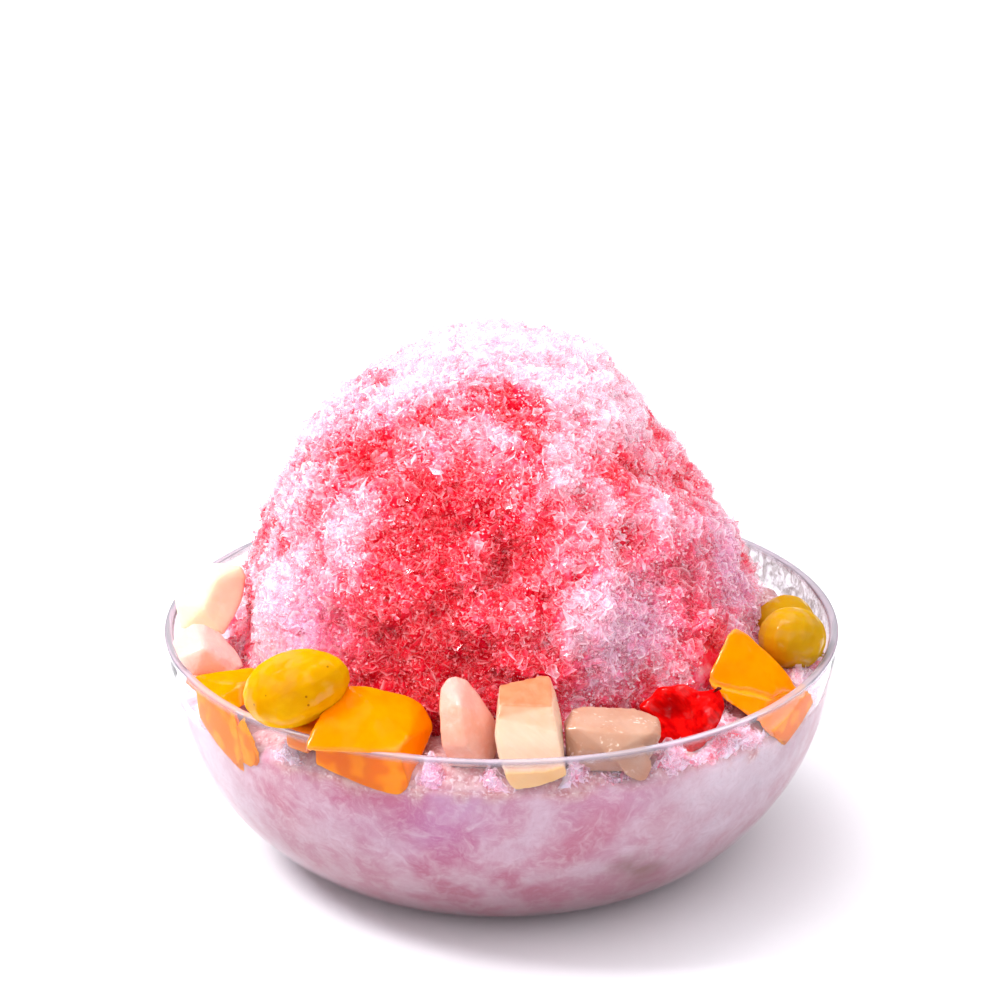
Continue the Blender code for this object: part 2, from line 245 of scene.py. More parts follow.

# The corners of the cut fruit, as read in those parts: across, down, and the guessed depth (its
# Y in millimetres). A piece is one or two lumps, each the hull of its corners
CORNERS = {
    "peach_wedge_front": (
        (
            FRONT, (60, 185, -65), (115, 112, -63), (175, 103, -62), (240, 132, -61), (325, 248, -61),
            (405, 350, -61.5), (440, 430, -62), (445, 600, -65), (400, 700, -67), (120, 690, -68),
            (75, 560, -69), (55, 330, -68), (200, 300, -70.5), (230, 560, -71.2), (120, 130, -57),
            (240, 160, -56), (400, 400, -55), (420, 640, -58), (110, 600, -60),
        ),
    ),
    "pear_block_front": (
        (
            FRONT, (452, 160, -58.5), (560, 140, -57.5), (640, 122, -57), (735, 97, -56.5),
            (782, 97, -56.5), (452, 290, -65.5), (795, 300, -65.5), (822, 215, -60), (858, 360, -62),
            (872, 500, -63), (868, 640, -65), (418, 490, -68.5), (438, 380, -67.5), (830, 470, -68.5),
            (445, 640, -71.0), (850, 640, -70.5), (470, 680, -71.8), (520, 800, -73.5), (560, 836, -74),
            (700, 812, -74), (800, 778, -73.5), (884, 738, -72.5), (880, 665, -68), (560, 760, -62),
            (850, 700, -60),
        ),
    ),
    "pear_block_right": (
        (
            FRONT, (872, 410, -60), (930, 318, -58), (1000, 298, -57), (1180, 308, -56),
            (1330, 311, -55), (1425, 345, -55.5), (1510, 408, -57.5), (1500, 480, -59),
            (1470, 560, -62), (960, 440, -66.5), (1120, 478, -67), (1300, 500, -66.5), (1400, 420, -62),
            (1395, 560, -66.5), (900, 520, -66), (1000, 590, -68.5), (1200, 610, -69), (900, 480, -58),
        ),
        (
            FRONT, (1180, 560, -67.5), (1420, 540, -64.5), (1432, 700, -68.5), (1392, 778, -71.5),
            (1340, 784, -72), (1262, 742, -72), (1240, 640, -70), (1400, 600, -60), (1300, 600, -59),
            (1380, 720, -62),
        ),
    ),
    "mango_wedge_right": (
        (
            RIGHT, (752, 600, -33.5), (712, 640, -35), (650, 770, -38), (600, 880, -41),
            (612, 930, -42.5), (700, 1010, -44.5), (820, 1095, -45.5), (870, 1120, -45.5),
            (960, 1010, -42), (1000, 960, -40), (1065, 885, -34), (1090, 930, -34.5),
            (1000, 800, -33.5), (930, 735, -33), (820, 632, -32.5), (830, 660, -27), (1060, 880, -28),
            (700, 900, -32), (900, 1100, -35),
        ),
        (
            RIGHT, (880, 1010, -43), (1090, 930, -35), (1150, 952, -34), (1172, 1010, -35),
            (1130, 1090, -38.5), (1062, 1188, -43), (1012, 1264, -46), (985, 1252, -46.5),
            (975, 1180, -46.5), (880, 1150, -47), (870, 1100, -45), (1080, 1000, -30),
            (1000, 1150, -36),
        ),
    ),
    "mango_cube": (
        (
            LEFT, (1090, 648, -56), (1180, 655, -54.5), (1300, 683, -53), (1420, 712, -52.5),
            (1480, 750, -52.5), (1525, 830, -54), (1538, 880, -56), (1482, 990, -61), (940, 800, -62.5),
            (885, 915, -66.5), (1345, 1000, -70.5), (1400, 930, -67), (868, 945, -67.5),
            (865, 985, -69), (925, 1065, -71.5), (1120, 1140, -73), (1330, 1226, -74),
            (1368, 1222, -73.5), (1405, 1185, -72), (1436, 1050, -66), (1480, 850, -50),
            (1100, 900, -52),
        ),
    ),
    "melon_chunk": (
        (
            LEFT, (168, 105, -4), (345, 12, 2), (440, 12, 3), (535, 28, 3), (562, 90, 1),
            (540, 200, -4), (500, 300, -8), (440, 395, -12), (210, 365, -14), (182, 240, -11),
            (168, 160, -8), (400, 90, -6), (330, 250, -12), (500, 100, 8), (250, 200, 6),
        ),
    ),
    "peach_wedge_left": (
        (
            LEFT, (168, 432, -24), (215, 372, -21), (280, 327, -19), (345, 340, -18), (430, 402, -18),
            (520, 500, -20), (545, 560, -23), (480, 602, -27), (285, 612, -30), (200, 520, -29),
            (330, 460, -29), (420, 380, -12), (220, 420, -14),
        ),
    ),
    "mango_chunk_left": (
        (
            LEFT, (268, 622, -33), (300, 602, -31), (440, 592, -30), (600, 555, -30), (640, 600, -33),
            (640, 720, -40), (530, 772, -45), (420, 720, -42), (330, 680, -38), (430, 640, -39),
            (530, 650, -41), (560, 640, -28), (300, 640, -27),
        ),
        (
            LEFT, (320, 665, -36), (326, 740, -40), (335, 820, -42.5), (432, 972, -50),
            (520, 1072, -54), (562, 1112, -55.5), (572, 1085, -55), (545, 1000, -53), (528, 840, -49),
            (526, 775, -46.5), (420, 720, -42), (420, 760, -33), (520, 900, -42),
        ),
    ),
    "mango_lobe_left": (
        (
            LEFT, (530, 838, -49), (536, 940, -52), (548, 1050, -54.5), (600, 1082, -56),
            (650, 1062, -56.5), (642, 1000, -55.5), (600, 900, -53.5), (560, 800, -50), (560, 900, -44),
            (610, 1000, -47),
        ),
    ),
}

# Corners of sides that the photograph barely shows, in millimetres
UNSEEN = {
    "pear_block_right": (
        (13.4, -66.5, 46.0), (14.0, -58.0, 45.4), (28.5, -66.8, 46.4), (31.0, -58.0, 46.0),
        (32.8, -63.0, 52.2), (32.4, -56.6, 53.6), (13.0, -65.8, 55.2), (30.6, -64.8, 53.8),
    ),
}

# Outline of the halved cherry as seen from in front, and how its skin folds, in millimetres
CHERRY = (
    (-8.9, 2.0), (-6.1, 4.2), (-4.6, 6.1), (-2.0, 6.3), (0.9, 6.8), (2.4, 5.9), (3.9, 5.2), (6.1, 5.4),
    (7.8, 6.1), (8.7, 4.2), (9.1, 2.0), (8.7, 0.6), (7.6, -1.7), (5.3, -4.9), (3.1, -6.9), (1.7, -8.3),
    (-0.6, -7.6), (-2.4, -6.9), (-5.0, -5.0), (-4.3, -2.8), (-6.1, 0.0), (-8.0, 1.2),
)


# ------------------------------------------------------------------ the bowl's wall


def outer_radius(z):
    """Radius of the wall's outer side at height z."""
    rise = 1 - (1 - np.clip(z / BOWL_TOP, 0, 1)) ** SIDE_SWEEP
    return FOOT + (RIM - FOOT) * rise ** (1 / SIDE_ROUNDING)


def side_profile(inset, lowest, highest, count):
    """Points (radius, height) of the wall, moved inwards by inset, between two heights."""
    # Points lie closer together low down, where the wall curves most
    z = BOWL_TOP * np.linspace(0, 1, 400) ** 1.8
    step = 1e-5
    radial = outer_radius(z + step) - outer_radius(z - step)
    upright = np.clip(z + step, 0, BOWL_TOP) - np.clip(z - step, 0, BOWL_TOP)
    length = np.hypot(radial, upright)
    r, h = outer_radius(z) - inset * upright / length, z + inset * radial / length
    heights = lowest + (highest - lowest) * np.linspace(0, 1, count) ** 1.35
    return np.stack([np.interp(heights, h, r), heights], axis=1)


def wall_radius(z, inset):
    """Radius of the wall's inner side at height z, moved inwards by inset (outwards if negative)."""
    table = side_profile(WALL + inset, 0.0, BOWL_TOP, 300)
    return np.interp(z, table[:, 1], table[:, 0])


def seen_at(part, across, down, depth):
    """The spot that shows here in a part of the photograph and lies at this depth, or else on the wall.

    A spot that would lie in the wall, or outside it, moves along the camera's line of sight until it lies
    a little beneath the wall's inner face.
    """
    left, top, enlarged = part
    width = 1000  # pixels of the photograph, which is square
    near, beneath = 0.0004, 0.0003  # how near the wall a spot is moved, and how far into the wall
    search = 0.014  # how far forwards or backwards a spot may move
    right = (left + across / enlarged) / width - 0.5
    up = 0.5 - (top + down / enlarged) / width
    ray = Euler((TILT, 0, 0)).to_matrix() @ Vector((right, up, -LENS / SENSOR))
    shifts = np.linspace(-search, search, 561)
    spots = np.array(EYE) + np.outer((depth * MM + np.append(shifts, 0) - EYE.y) / ray.y, ray)
    past = from_axis(spots) - outer_radius(spots[:, 2])
    if spots[-1, 2] < BOWL_TOP and past[-1] > -WALL - near:
        side = past[:-1] > beneath - WALL
        meets = np.flatnonzero((side[1:] != side[:-1]) & (spots[:-2, 2] < BOWL_TOP))
        if len(meets):
            return spots[meets[np.argmin(np.abs(shifts[meets]))]]
    return spots[-1]


# ------------------------------------------------------------------ meshes


def coords(mesh):
    flat = np.empty(len(mesh.vertices) * 3)
    mesh.vertices.foreach_get("co", flat)
    return flat.reshape(-1, 3)


def set_coords(mesh, points):
    mesh.vertices.foreach_set("co", np.ascontiguousarray(points, dtype=np.float32).ravel())
    mesh.update()


def normals(mesh):
    flat = np.empty(len(mesh.vertices) * 3, dtype=np.float32)
    mesh.vertex_normals.foreach_get("vector", flat)
    return flat.reshape(-1, 3).astype(float)


def mark(mesh, name, values):
    """Keeps one number for each point of the mesh, for the finish to read."""
    layer = mesh.attributes.get(name) or mesh.attributes.new(name, "FLOAT", "POINT")
    layer.data.foreach_set("value", np.ascontiguousarray(values, dtype=np.float32))


def new_piece(name, mesh):
    piece = bpy.data.objects.new(name, mesh)
    bpy.context.scene.collection.objects.link(piece)
    return piece


def mesh_of(name, points, faces):
    mesh = bpy.data.meshes.new(name)
    mesh.from_pydata([tuple(point) for point in points], [], faces)
    mesh.update()
    return mesh


def made_plain(piece):
    """Turns the piece with its modifiers into a plain mesh."""
    depsgraph = bpy.context.evaluated_depsgraph_get()
    plain = bpy.data.meshes.new_from_object(piece.evaluated_get(depsgraph))
    piece.modifiers.clear()
    piece.data = plain
    plain.name = piece.name
    return piece


def smooth_shaded(mesh, smooth=True):
    mesh.polygons.foreach_set("use_smooth", [smooth] * len(mesh.polygons))
    mesh.update()


def finished(piece, finish, slot, *nodes):
    """Gives the piece its finish and ties it to the frame."""
    piece.data.materials.clear()
    piece.data.materials.append(finish)
    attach(piece, "root")
    if nodes:
        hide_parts(*nodes)
    return piece


def skin(rings):
    """Points and faces of the closed skin over rings of points. An end is a single point or is capped."""
    sizes = [len(ring) for ring in rings]
    starts = [sum(sizes[:k]) for k in range(len(sizes))]
    faces = []
    for low, size, high, after_size in zip(starts, sizes, starts[1:], sizes[1:]):
        around = max(size, after_size)
        for k in range(around):
            after = (k + 1) % around
            quad = (low + k % size, low + after % size, high + after % after_size, high + k % after_size)
            faces.append(tuple(dict.fromkeys(quad)))
    if sizes[0] > 1:
        faces.append(tuple(reversed(range(sizes[0]))))
        faces.append(tuple(range(starts[-1], starts[-1] + sizes[-1])))
    return np.concatenate(rings), faces


def lathe(name, profile, around):
    """Turns a closed profile of (radius, height) points round Z. It starts and ends on the axis."""
    turn = np.linspace(0, 2 * math.pi, around, endpoint=False)
    circle = np.stack([np.cos(turn), np.sin(turn), np.ones(around)], axis=1)
    rings = [circle[: around if radius else 1] * (radius, radius, height) for radius, height in profile]
    return mesh_of(name, *skin(rings))


def plain_underside(mesh, height):
    """Swaps the faces below a height for one flat face."""
    bm = bmesh.new()
    bm.from_mesh(mesh)
    below = [vertex for vertex in bm.verts if vertex.co.z < height]
    bmesh.ops.delete(bm, geom=below, context="VERTS")
    for vertex in bm.verts:
        if vertex.is_boundary:
            vertex.co.z = height
    bmesh.ops.holes_fill(bm, edges=[edge for edge in bm.edges if edge.is_boundary])
    bmesh.ops.recalc_face_normals(bm, faces=bm.faces)
    bm.to_mesh(mesh)
    bm.free()


def hulled(name, node):
    """One mesh of the closed hulls of a piece's lumps. They may overlap, since an even remesh joins them."""
    bm = bmesh.new()
    extra = [np.array(corner) * MM for corner in UNSEEN.get(node, ())]
    for place, *corners in CORNERS[node]:
        part = bmesh.new()
        for spot in [seen_at(place, *corner) for corner in corners] + extra:
            part.verts.new(spot)
        extra = []
        hull = bmesh.ops.convex_hull(part, input=part.verts)
        inner = set(hull["geom_interior"] + hull["geom_unused"])
        bmesh.ops.delete(part, geom=[item for item in inner if isinstance(item, bmesh.types.BMVert)])
        bmesh.ops.recalc_face_normals(part, faces=part.faces)
        piece = bpy.data.meshes.new("hull")
        part.to_mesh(piece)
        part.free()
        bm.from_mesh(piece)
        bpy.data.meshes.remove(piece)
    mesh = bpy.data.meshes.new(name)
    bm.to_mesh(mesh)
    bm.free()
    return mesh


def tube(path, radii, sides=7):
    """Points and faces of a closed tube along a short path."""
    path = [Vector(point) for point in path]
    turns = [2 * math.pi * k / sides for k in range(sides)]
    rings = []
    for k, (spot, radius) in enumerate(zip(path, radii)):
        ahead = (path[min(k + 1, len(path) - 1)] - path[max(k - 1, 0)]).normalized()
        side = ahead.orthogonal().normalized()
        up = ahead.cross(side)
        rings.append([spot + side * radius * math.cos(a) + up * radius * math.sin(a) for a in turns])
    return skin(rings)


def merged_copy(name, node):
    """A copy of a CAD node's mesh with its loose triangles joined."""
    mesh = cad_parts[node].data.copy()
    mesh.name = name
    bm = bmesh.new()
    bm.from_mesh(mesh)
    bmesh.ops.remove_doubles(bm, verts=bm.verts, dist=2e-6)
    bm.to_mesh(mesh)
    bm.free()
    mesh.materials.clear()
    return mesh


def remeshed(piece, voxel, rounds):
    """An even, fine mesh with the piece's shape, its edges softened in this many rounds."""
    remesh = piece.modifiers.new("even", "REMESH")
    remesh.mode = "VOXEL"
    remesh.voxel_size = voxel
    soften = piece.modifiers.new("soften", "SMOOTH")
    soften.iterations = rounds
    return made_plain(piece)


# ------------------------------------------------------------------ finishes


def srgb(red, green, blue):
    """A colour as read off a screen, from 0 to 255, for a node's socket."""
    parts = [value / 255 for value in (red, green, blue)]
    return tuple(v / 12.92 if v <= 0.04045 else ((v + 0.055) / 1.055) ** 2.4 for v in parts)


class Socket:
    """A socket in a tree of nodes. Arithmetic on it adds Math nodes."""

    def __init__(self, graph, socket):
        self.graph = graph
        self.socket = socket

    def maths(self, operation, *values, clamp=False):
        settings = {"operation": operation, "use_clamp": clamp}
        return self.graph.node("ShaderNodeMath", settings, dict(enumerate(values)))

    def __add__(self, other):
        return self.maths("ADD", self, other)

    def __radd__(self, other):
        return self.maths("ADD", other, self)

    def __sub__(self, other):
        return self.maths("SUBTRACT", self, other)

    def __rsub__(self, other):
        return self.maths("SUBTRACT", other, self)

    def __mul__(self, other):
        return self.maths("MULTIPLY", self, other)

    def __rmul__(self, other):
        return self.maths("MULTIPLY", other, self)

    def held(self):
        """The value, kept from 0 to 1."""
        return self.maths("ADD", self, 0.0, clamp=True)

    def rise(self, start, end):
        """0 below start, 1 above end and even between them."""
        return self.maths("DIVIDE", self - start, end - start, clamp=True)

    def beside(self, name):
        """Another output of the same node."""
        return Socket(self.graph, self.socket.node.outputs[name])


class Graph:
    """A tree of nodes under construction."""

    def __init__(self, tree):
        self.tree = tree

    def node(self, kind, settings=None, inputs=None, out=0):
        """Adds a node with these settings and these values or links, and gives back one of its outputs."""
        node = self.tree.nodes.new(kind)
        for name, value in (settings or {}).items():
            if name == "stops":
                elements = node.color_ramp.elements
                while len(elements) < len(value):
                    elements.new(1.0)
                for element, (position, colour) in zip(elements, value):
                    element.position = position
                    element.color = (*colour, 1.0)
            else:
                setattr(node, name, value)
        for name, value in (inputs or {}).items():
            socket = node.inputs[name]
            if isinstance(value, Socket):
                self.tree.links.new(value.socket, socket)
            elif socket.type == "RGBA":
                socket.default_value = (*value, 1.0)
            else:
                socket.default_value = value
        return Socket(self, node.outputs[out]) if node.outputs else None


class Finish(Graph):
    """A material, or the light from all round, under construction."""

    def __init__(self, name, world=None):
        self.material = world or bpy.data.materials.new(name)
        self.material.use_nodes = True
        super().__init__(self.material.node_tree)
        self.tree.nodes.clear()
        self.place = self.node("ShaderNodeTexCoord", out="Generated" if world else "Object")

    def kept(self, name):
        """A number kept at each point of the mesh."""
        return self.node("ShaderNodeAttribute", {"attribute_name": name}, out="Fac")

    def noise(self, size, detail=2.0, rough=0.5, where=None, twist=0.0):
        """Soft noise about 0.5, with lumps of this size in millimetres."""
        inputs = {"Vector": where or self.place, "Scale": 1 / (size * MM), "Detail": detail}
        inputs.update({"Roughness": rough, "Distortion": twist})
        return self.node("ShaderNodeTexNoise", {}, inputs, out="Fac")

    def specks(self, size):
        """How far the nearest of many scattered specks is, as a share of this distance in millimetres."""
        inputs = {"Vector": self.place, "Scale": 1 / (size * MM)}
        return self.node("ShaderNodeTexVoronoi", {"feature": "F1"}, inputs, out="Distance")

    def drawn_out(self, turn, scale):
        """The place, turned by these degrees and drawn out, for patterns that run one way."""
        inputs = {"Vector": self.place, "Scale": scale}
        inputs["Rotation"] = [math.radians(angle) for angle in turn]
        return self.node("ShaderNodeMapping", {"vector_type": "TEXTURE"}, inputs)

    def height(self):
        """How high a point lies on the piece, or how high up the light from all round comes from."""
        return self.node("ShaderNodeSeparateXYZ", {}, {0: self.place}, out="Z")

    def away(self, point):
        """Distance from a point, in millimetres."""
        inputs = {0: self.place, 1: [value * MM for value in point]}
        gap = self.node("ShaderNodeVectorMath", {"operation": "DISTANCE"}, inputs, out="Value")
        return gap * 1000

    def warped(self, size, reach):
        """The place, pushed about by noise, for patterns with ragged lines."""
        inputs = {"Vector": self.place, "Scale": 1 / (size * MM), "Detail": 2.0}
        push = self.node("ShaderNodeTexNoise", {}, inputs, out="Color")
        inputs = {0: push, 1: (0.5, 0.5, 0.5)}
        push = self.node("ShaderNodeVectorMath", {"operation": "SUBTRACT"}, inputs)
        inputs = {0: push, 1: (reach * MM * 2,) * 3, 2: self.place}
        return self.node("ShaderNodeVectorMath", {"operation": "MULTIPLY_ADD"}, inputs)

    def mix(self, share, first, second):
        settings = {"data_type": "RGBA", "clamp_factor": True}
        return self.node("ShaderNodeMix", settings, {0: share, 6: first, 7: second}, out=2)

    def bump(self, height, strength, distance):
        inputs = {"Height": height, "Strength": strength, "Distance": distance * MM}
        return self.node("ShaderNodeBump", {}, inputs)

    def principled(self, **inputs):
        named = {name.replace("_", " "): value for name, value in inputs.items()}
        return self.node("ShaderNodeBsdfPrincipled", {}, named)

    def see_through_shadow(self, shader, tint):
        """Lets lamps shine through, so that clear ice and glass cast no hard shadow."""
        open_way = self.node("ShaderNodeBsdfTransparent", {}, {0: tint})
        shadow = self.node("ShaderNodeLightPath", out="Is Shadow Ray")
        return self.done(self.node("ShaderNodeMixShader", {}, {0: shadow, 1: shader, 2: open_way}))

    def done(self, shader, output="ShaderNodeOutputMaterial"):
        self.node(output, {}, {0: shader})
        return self.material


def ice_colours(finish, syrup, lilac, edge):
    """White ice, through pink, to deep red as syrup rises. Edges are painted paler than what they frame,
    a painted highlight where light catches the ice's edges.
    """
    stops = (
        (0.00, srgb(243, 230, 239)),
        (0.20, srgb(247, 204, 219)),
        (0.36, srgb(250, 146, 172)),
        (0.52, srgb(250, 76, 110)),
        (0.70, srgb(236, 20, 60)),
        (1.00, srgb(200, 0, 36)),
    )
    colour = finish.node("ShaderNodeValToRGB", {"stops": stops}, {0: syrup.held()})
    colour = finish.mix(lilac.held() * 0.8, colour, srgb(218, 160, 198))
    rim = finish.mix(syrup.held() * 0.45 + 0.2, srgb(255, 250, 252), colour)
    return finish.mix(edge.held(), colour, rim)


def heap_finish():
    """Packed ice: wet, gritty and stained, with lamps shining some way through."""
    finish = Finish("shaved ice, packed")
    grit = finish.noise(0.7, 2.0, 0.6)
    syrup = finish.kept("syrup") + (grit - 0.5) * 0.4
    colour = ice_colours(finish, syrup, finish.kept("lilac"), finish.kept("edge") * grit.rise(0.3, 0.6))
    shader = finish.principled(
        Base_Color=colour,
        Roughness=0.5 - grit * 0.4,
        Subsurface_Weight=0.4,
        Subsurface_Radius=(1.0, 0.3, 0.4),
        Subsurface_Scale=0.004,
        IOR=1.31,
        Specular_IOR_Level=0.3,
    )
    return finish.see_through_shadow(shader, (0.62, 0.20, 0.26))


def flake_finish(name, whiteness, body):
    """A thin film of ice: the packed ice shows through its body, and its edges are painted white as a
    painted highlight.
    """
    finish = Finish(name)
    syrup = finish.kept("syrup") - whiteness
    edge = finish.kept("rim").rise(0.6, 1.0)
    front = finish.principled(
        Base_Color=ice_colours(finish, syrup, finish.kept("lilac"), edge * 0.9),
        Roughness=0.1,
        IOR=1.31,
        Coat_Weight=0.8,
        Coat_Roughness=0.03,
    )
    pale = finish.node("ShaderNodeBsdfTranslucent", {}, {0: srgb(250, 226, 236)})
    red = finish.node("ShaderNodeBsdfTranslucent", {}, {0: srgb(250, 70, 100)})
    through = finish.node("ShaderNodeMixShader", {}, {0: syrup.rise(0.1, 0.6), 1: pale, 2: red})
    film = finish.node("ShaderNodeMixShader", {}, {0: 0.25, 1: front, 2: through})
    if body < 1:
        clear = finish.node("ShaderNodeBsdfTransparent", {}, {0: (1, 1, 1)})
        share = (edge * 0.6 + body).held()
        film = finish.node("ShaderNodeMixShader", {}, {0: share, 1: clear, 2: film})
    return finish.see_through_shadow(film, (0.93, 0.60, 0.67))


def bed_finish():
    """Ice as it shows through the wall: soft clouds, with crisp grains only near the top that carry painted
    glints, and painted darker towards the bottom as painted shade.
    """
    finish = Finish("shaved ice behind the wall")
    place = finish.warped(7.0, 5.0)
    cloud = finish.noise(9.0, 2.0, 0.6)
    wisps = finish.noise(4.0, 3.0, 0.7, where=place)
    fibres = finish.noise(1.1, 2.0, 0.7, where=place)
    base = finish.mix(cloud.rise(0.4, 0.6), srgb(198, 124, 146), srgb(218, 184, 196))
    base = finish.mix(finish.kept("lilac").held() * 0.85, base, srgb(202, 140, 190))
    base = finish.mix(finish.kept("runs").held() * 0.9, base, srgb(196, 84, 108))
    base = finish.mix(finish.kept("pale").held() * 0.85, base, srgb(220, 208, 216))
    base = finish.mix(wisps.rise(0.48, 0.72) * 0.5, base, srgb(234, 218, 226))
    base = finish.mix(fibres.rise(0.5, 0.8) * 0.28, base, srgb(238, 224, 232))
    base = finish.mix((1 - fibres.rise(0.25, 0.48)) * 0.2, base, srgb(176, 100, 124))
    # Painted shade: darker towards the bowl's floor
    low = finish.height() * 1000
    base = finish.mix((1 - low.rise(3, 26)) * 0.75, base, srgb(158, 104, 112))
    base = finish.mix(finish.kept("dull").held(), base, srgb(146, 106, 98))
    base = finish.mix(0.1, base, srgb(120, 60, 60))
    chips = finish.noise(1.8, 2.0, 0.7).rise(0.35, 0.65)
    crystal = finish.mix(chips, srgb(190, 130, 132), srgb(212, 178, 176))
    # Painted glints: small near-white specks on the crystals
    crystal = finish.mix(finish.noise(0.8, 1.0).rise(0.58, 0.68) * 0.5, crystal, srgb(244, 232, 232))
    base = finish.mix(finish.kept("top"), base, crystal)
    shader = finish.principled(
        Base_Color=base,
        Roughness=0.5,
        Subsurface_Weight=0.2,
        Subsurface_Radius=(1.0, 0.45, 0.45),
        Subsurface_Scale=0.003,
        IOR=1.31,
        Specular_IOR_Level=0.3,
    )
    return finish.done(shader)


def clear_finish():
    """Clear plastic with a faint lilac tint. Its lip is painted pale lilac-grey and darker at its corners,
    painted light and shade in the rim. Above the ice at the back its tint is painted darker, with grey-brown
    streaks, as painted shade of the rippled wall. Lamps shine through it.
    """
    finish = Finish("clear plastic")
    free = finish.kept("free")
    # Painted shade: a darker tint and grey-brown streaks on the wall above the ice at the back
    streaks = finish.noise(3.4, 1.0, 0.5, twist=1.5).rise(0.44, 0.58) * free
    tint = finish.mix(free * 0.75, srgb(247, 244, 250), srgb(200, 192, 197))
    glass = finish.principled(
        Base_Color=finish.mix(streaks * 0.9, tint, srgb(128, 116, 114)),
        Roughness=0.03,
        Normal=finish.bump(finish.noise(10.0, 0.0), 0.3, 1.6),
        Transmission_Weight=1.0,
        IOR=1.28,
        Specular_IOR_Level=0.5,
    )
    lip = finish.kept("lip")
    # Painted light and shade in the rim: a pale lip, darker at its corners
    pale = finish.mix(finish.kept("corner"), srgb(200, 194, 206), srgb(146, 138, 154))
    painted_lip = finish.principled(Base_Color=pale, Roughness=0.2, Coat_Weight=0.5, Coat_Roughness=0.05)
    wall = finish.node("ShaderNodeMixShader", {}, {0: lip * 0.55, 1: glass, 2: painted_lip})
    return finish.see_through_shadow(wall, srgb(247, 244, 250))


def mango_finish():
    """Orange flesh with faint fibres, painted more yellow on faces turned up as painted top light, and a
    patchy film of juice on the wall.
    """
    finish = Finish("mango")
    fibres = finish.noise(1.6, 2.0, 0.5, where=finish.drawn_out((20, 30, 0), (1, 1, 4)))
    colour = finish.mix(finish.noise(7.0).rise(0.35, 0.65), srgb(255, 124, 0), srgb(255, 138, 0))
    # Painted top light: more yellow on faces turned up
    colour = finish.mix(finish.kept("up").rise(0.3, 0.9) * 0.3, colour, srgb(255, 142, 0))
    colour = finish.mix((fibres - 0.5) * 0.4 + 0.08, colour, srgb(255, 160, 4))
    pressed = finish.kept("pressed")
    film = finish.noise(5.0, 1.0).rise(0.42, 0.52)
    against = finish.mix(film, srgb(255, 146, 0), srgb(240, 118, 0))
    colour = finish.mix(pressed, colour, against)
    # Painted highlight: a lighter line along the crack
    colour = finish.mix(finish.kept("crack") * 0.6, colour, srgb(255, 176, 40))
    height = fibres * 0.4 + finish.noise(2.5, 2.0) * 0.6
    shader = finish.principled(
        Base_Color=colour,
        Roughness=finish.noise(3.0).rise(0.2, 0.9) * 0.2 + 0.2,
        Normal=finish.bump(height, 0.12, 0.5),
        Subsurface_Weight=0.4,
        Subsurface_Radius=(1.0, 0.35, 0.03),
        Subsurface_Scale=0.003,
        Specular_IOR_Level=0.0,
        Coat_Weight=finish.noise(4.0, 1.0).rise(0.4, 0.6) * 0.06 + finish.kept("bevel"),
        Coat_Roughness=0.06,
    )
    return finish.done(shader)


def grape_finish():
    """Peeled amber grape with pale veins and a few brown specks."""
    finish = Finish("peeled grape")
    veins = finish.noise(2.4, 3.0, 0.6, where=finish.drawn_out((0, -20, 30), (3, 1, 1)))
    colour = finish.mix(finish.noise(7.0).rise(0.3, 0.7), srgb(198, 134, 0), srgb(209, 154, 2))
    colour = finish.mix(veins.rise(0.5, 0.8) * 0.35, colour, srgb(226, 176, 24))
    colour = finish.mix(finish.kept("beige"), colour, finish.mix(0.6, colour, srgb(168, 126, 18)))
    specks = 1 - finish.specks(3.4).rise(0.05, 0.10)
    colour = finish.mix(specks * finish.noise(5.0).rise(0.5, 0.55) * 0.8, colour, srgb(120, 60, 10))
    shader = finish.principled(
        Base_Color=colour,
        Roughness=finish.noise(2.0).rise(0.2, 0.9) * 0.12 + 0.12,
        Normal=finish.bump(finish.noise(2.2, 2.0), 0.12, 0.5),
        Subsurface_Weight=0.5,
        Subsurface_Radius=(1.0, 0.5, 0.06),
        Subsurface_Scale=0.004,
        Specular_IOR_Level=0.0,
        Coat_Weight=finish.noise(3.0, 1.0).rise(0.45, 0.62) * 0.6 + 0.04,
        Coat_Roughness=0.04,
    )
    return finish.done(shader)


def peach_finish():
    """Pink flesh, and skin on its upper side, both softly fuzzy."""
    finish = Finish("peach")
    fuzz = finish.noise(0.5, 3.0, 0.7)
    flesh = finish.mix(finish.noise(5.0).rise(0.3, 0.7), srgb(236, 160, 134), srgb(240, 178, 156))
    skin = srgb(244, 172, 160)
    colour = finish.mix(finish.kept("up").rise(0.2, 0.9), flesh, skin)
    colour = finish.mix(finish.noise(1.6, 3.0).rise(0.5, 0.8) * 0.4, colour, srgb(250, 206, 190))
    colour = finish.mix(finish.kept("pale") * 0.55, colour, srgb(250, 206, 196))
    shader = finish.principled(
        Base_Color=colour,
        Roughness=fuzz.rise(0.3, 0.8) * 0.3 + 0.3,
        Normal=finish.bump(fuzz + finish.noise(1.7, 2.0), 0.35, 0.45),
        Subsurface_Weight=0.4,
        Subsurface_Radius=(1.0, 0.45, 0.3),
        Subsurface_Scale=0.004,
        Specular_IOR_Level=0.2,
        Coat_Weight=finish.noise(1.2, 2.0).rise(0.5, 0.65) * 0.4 + finish.kept("bevel") * 0.5,
        Coat_Roughness=0.1,
    )
    return finish.done(shader)


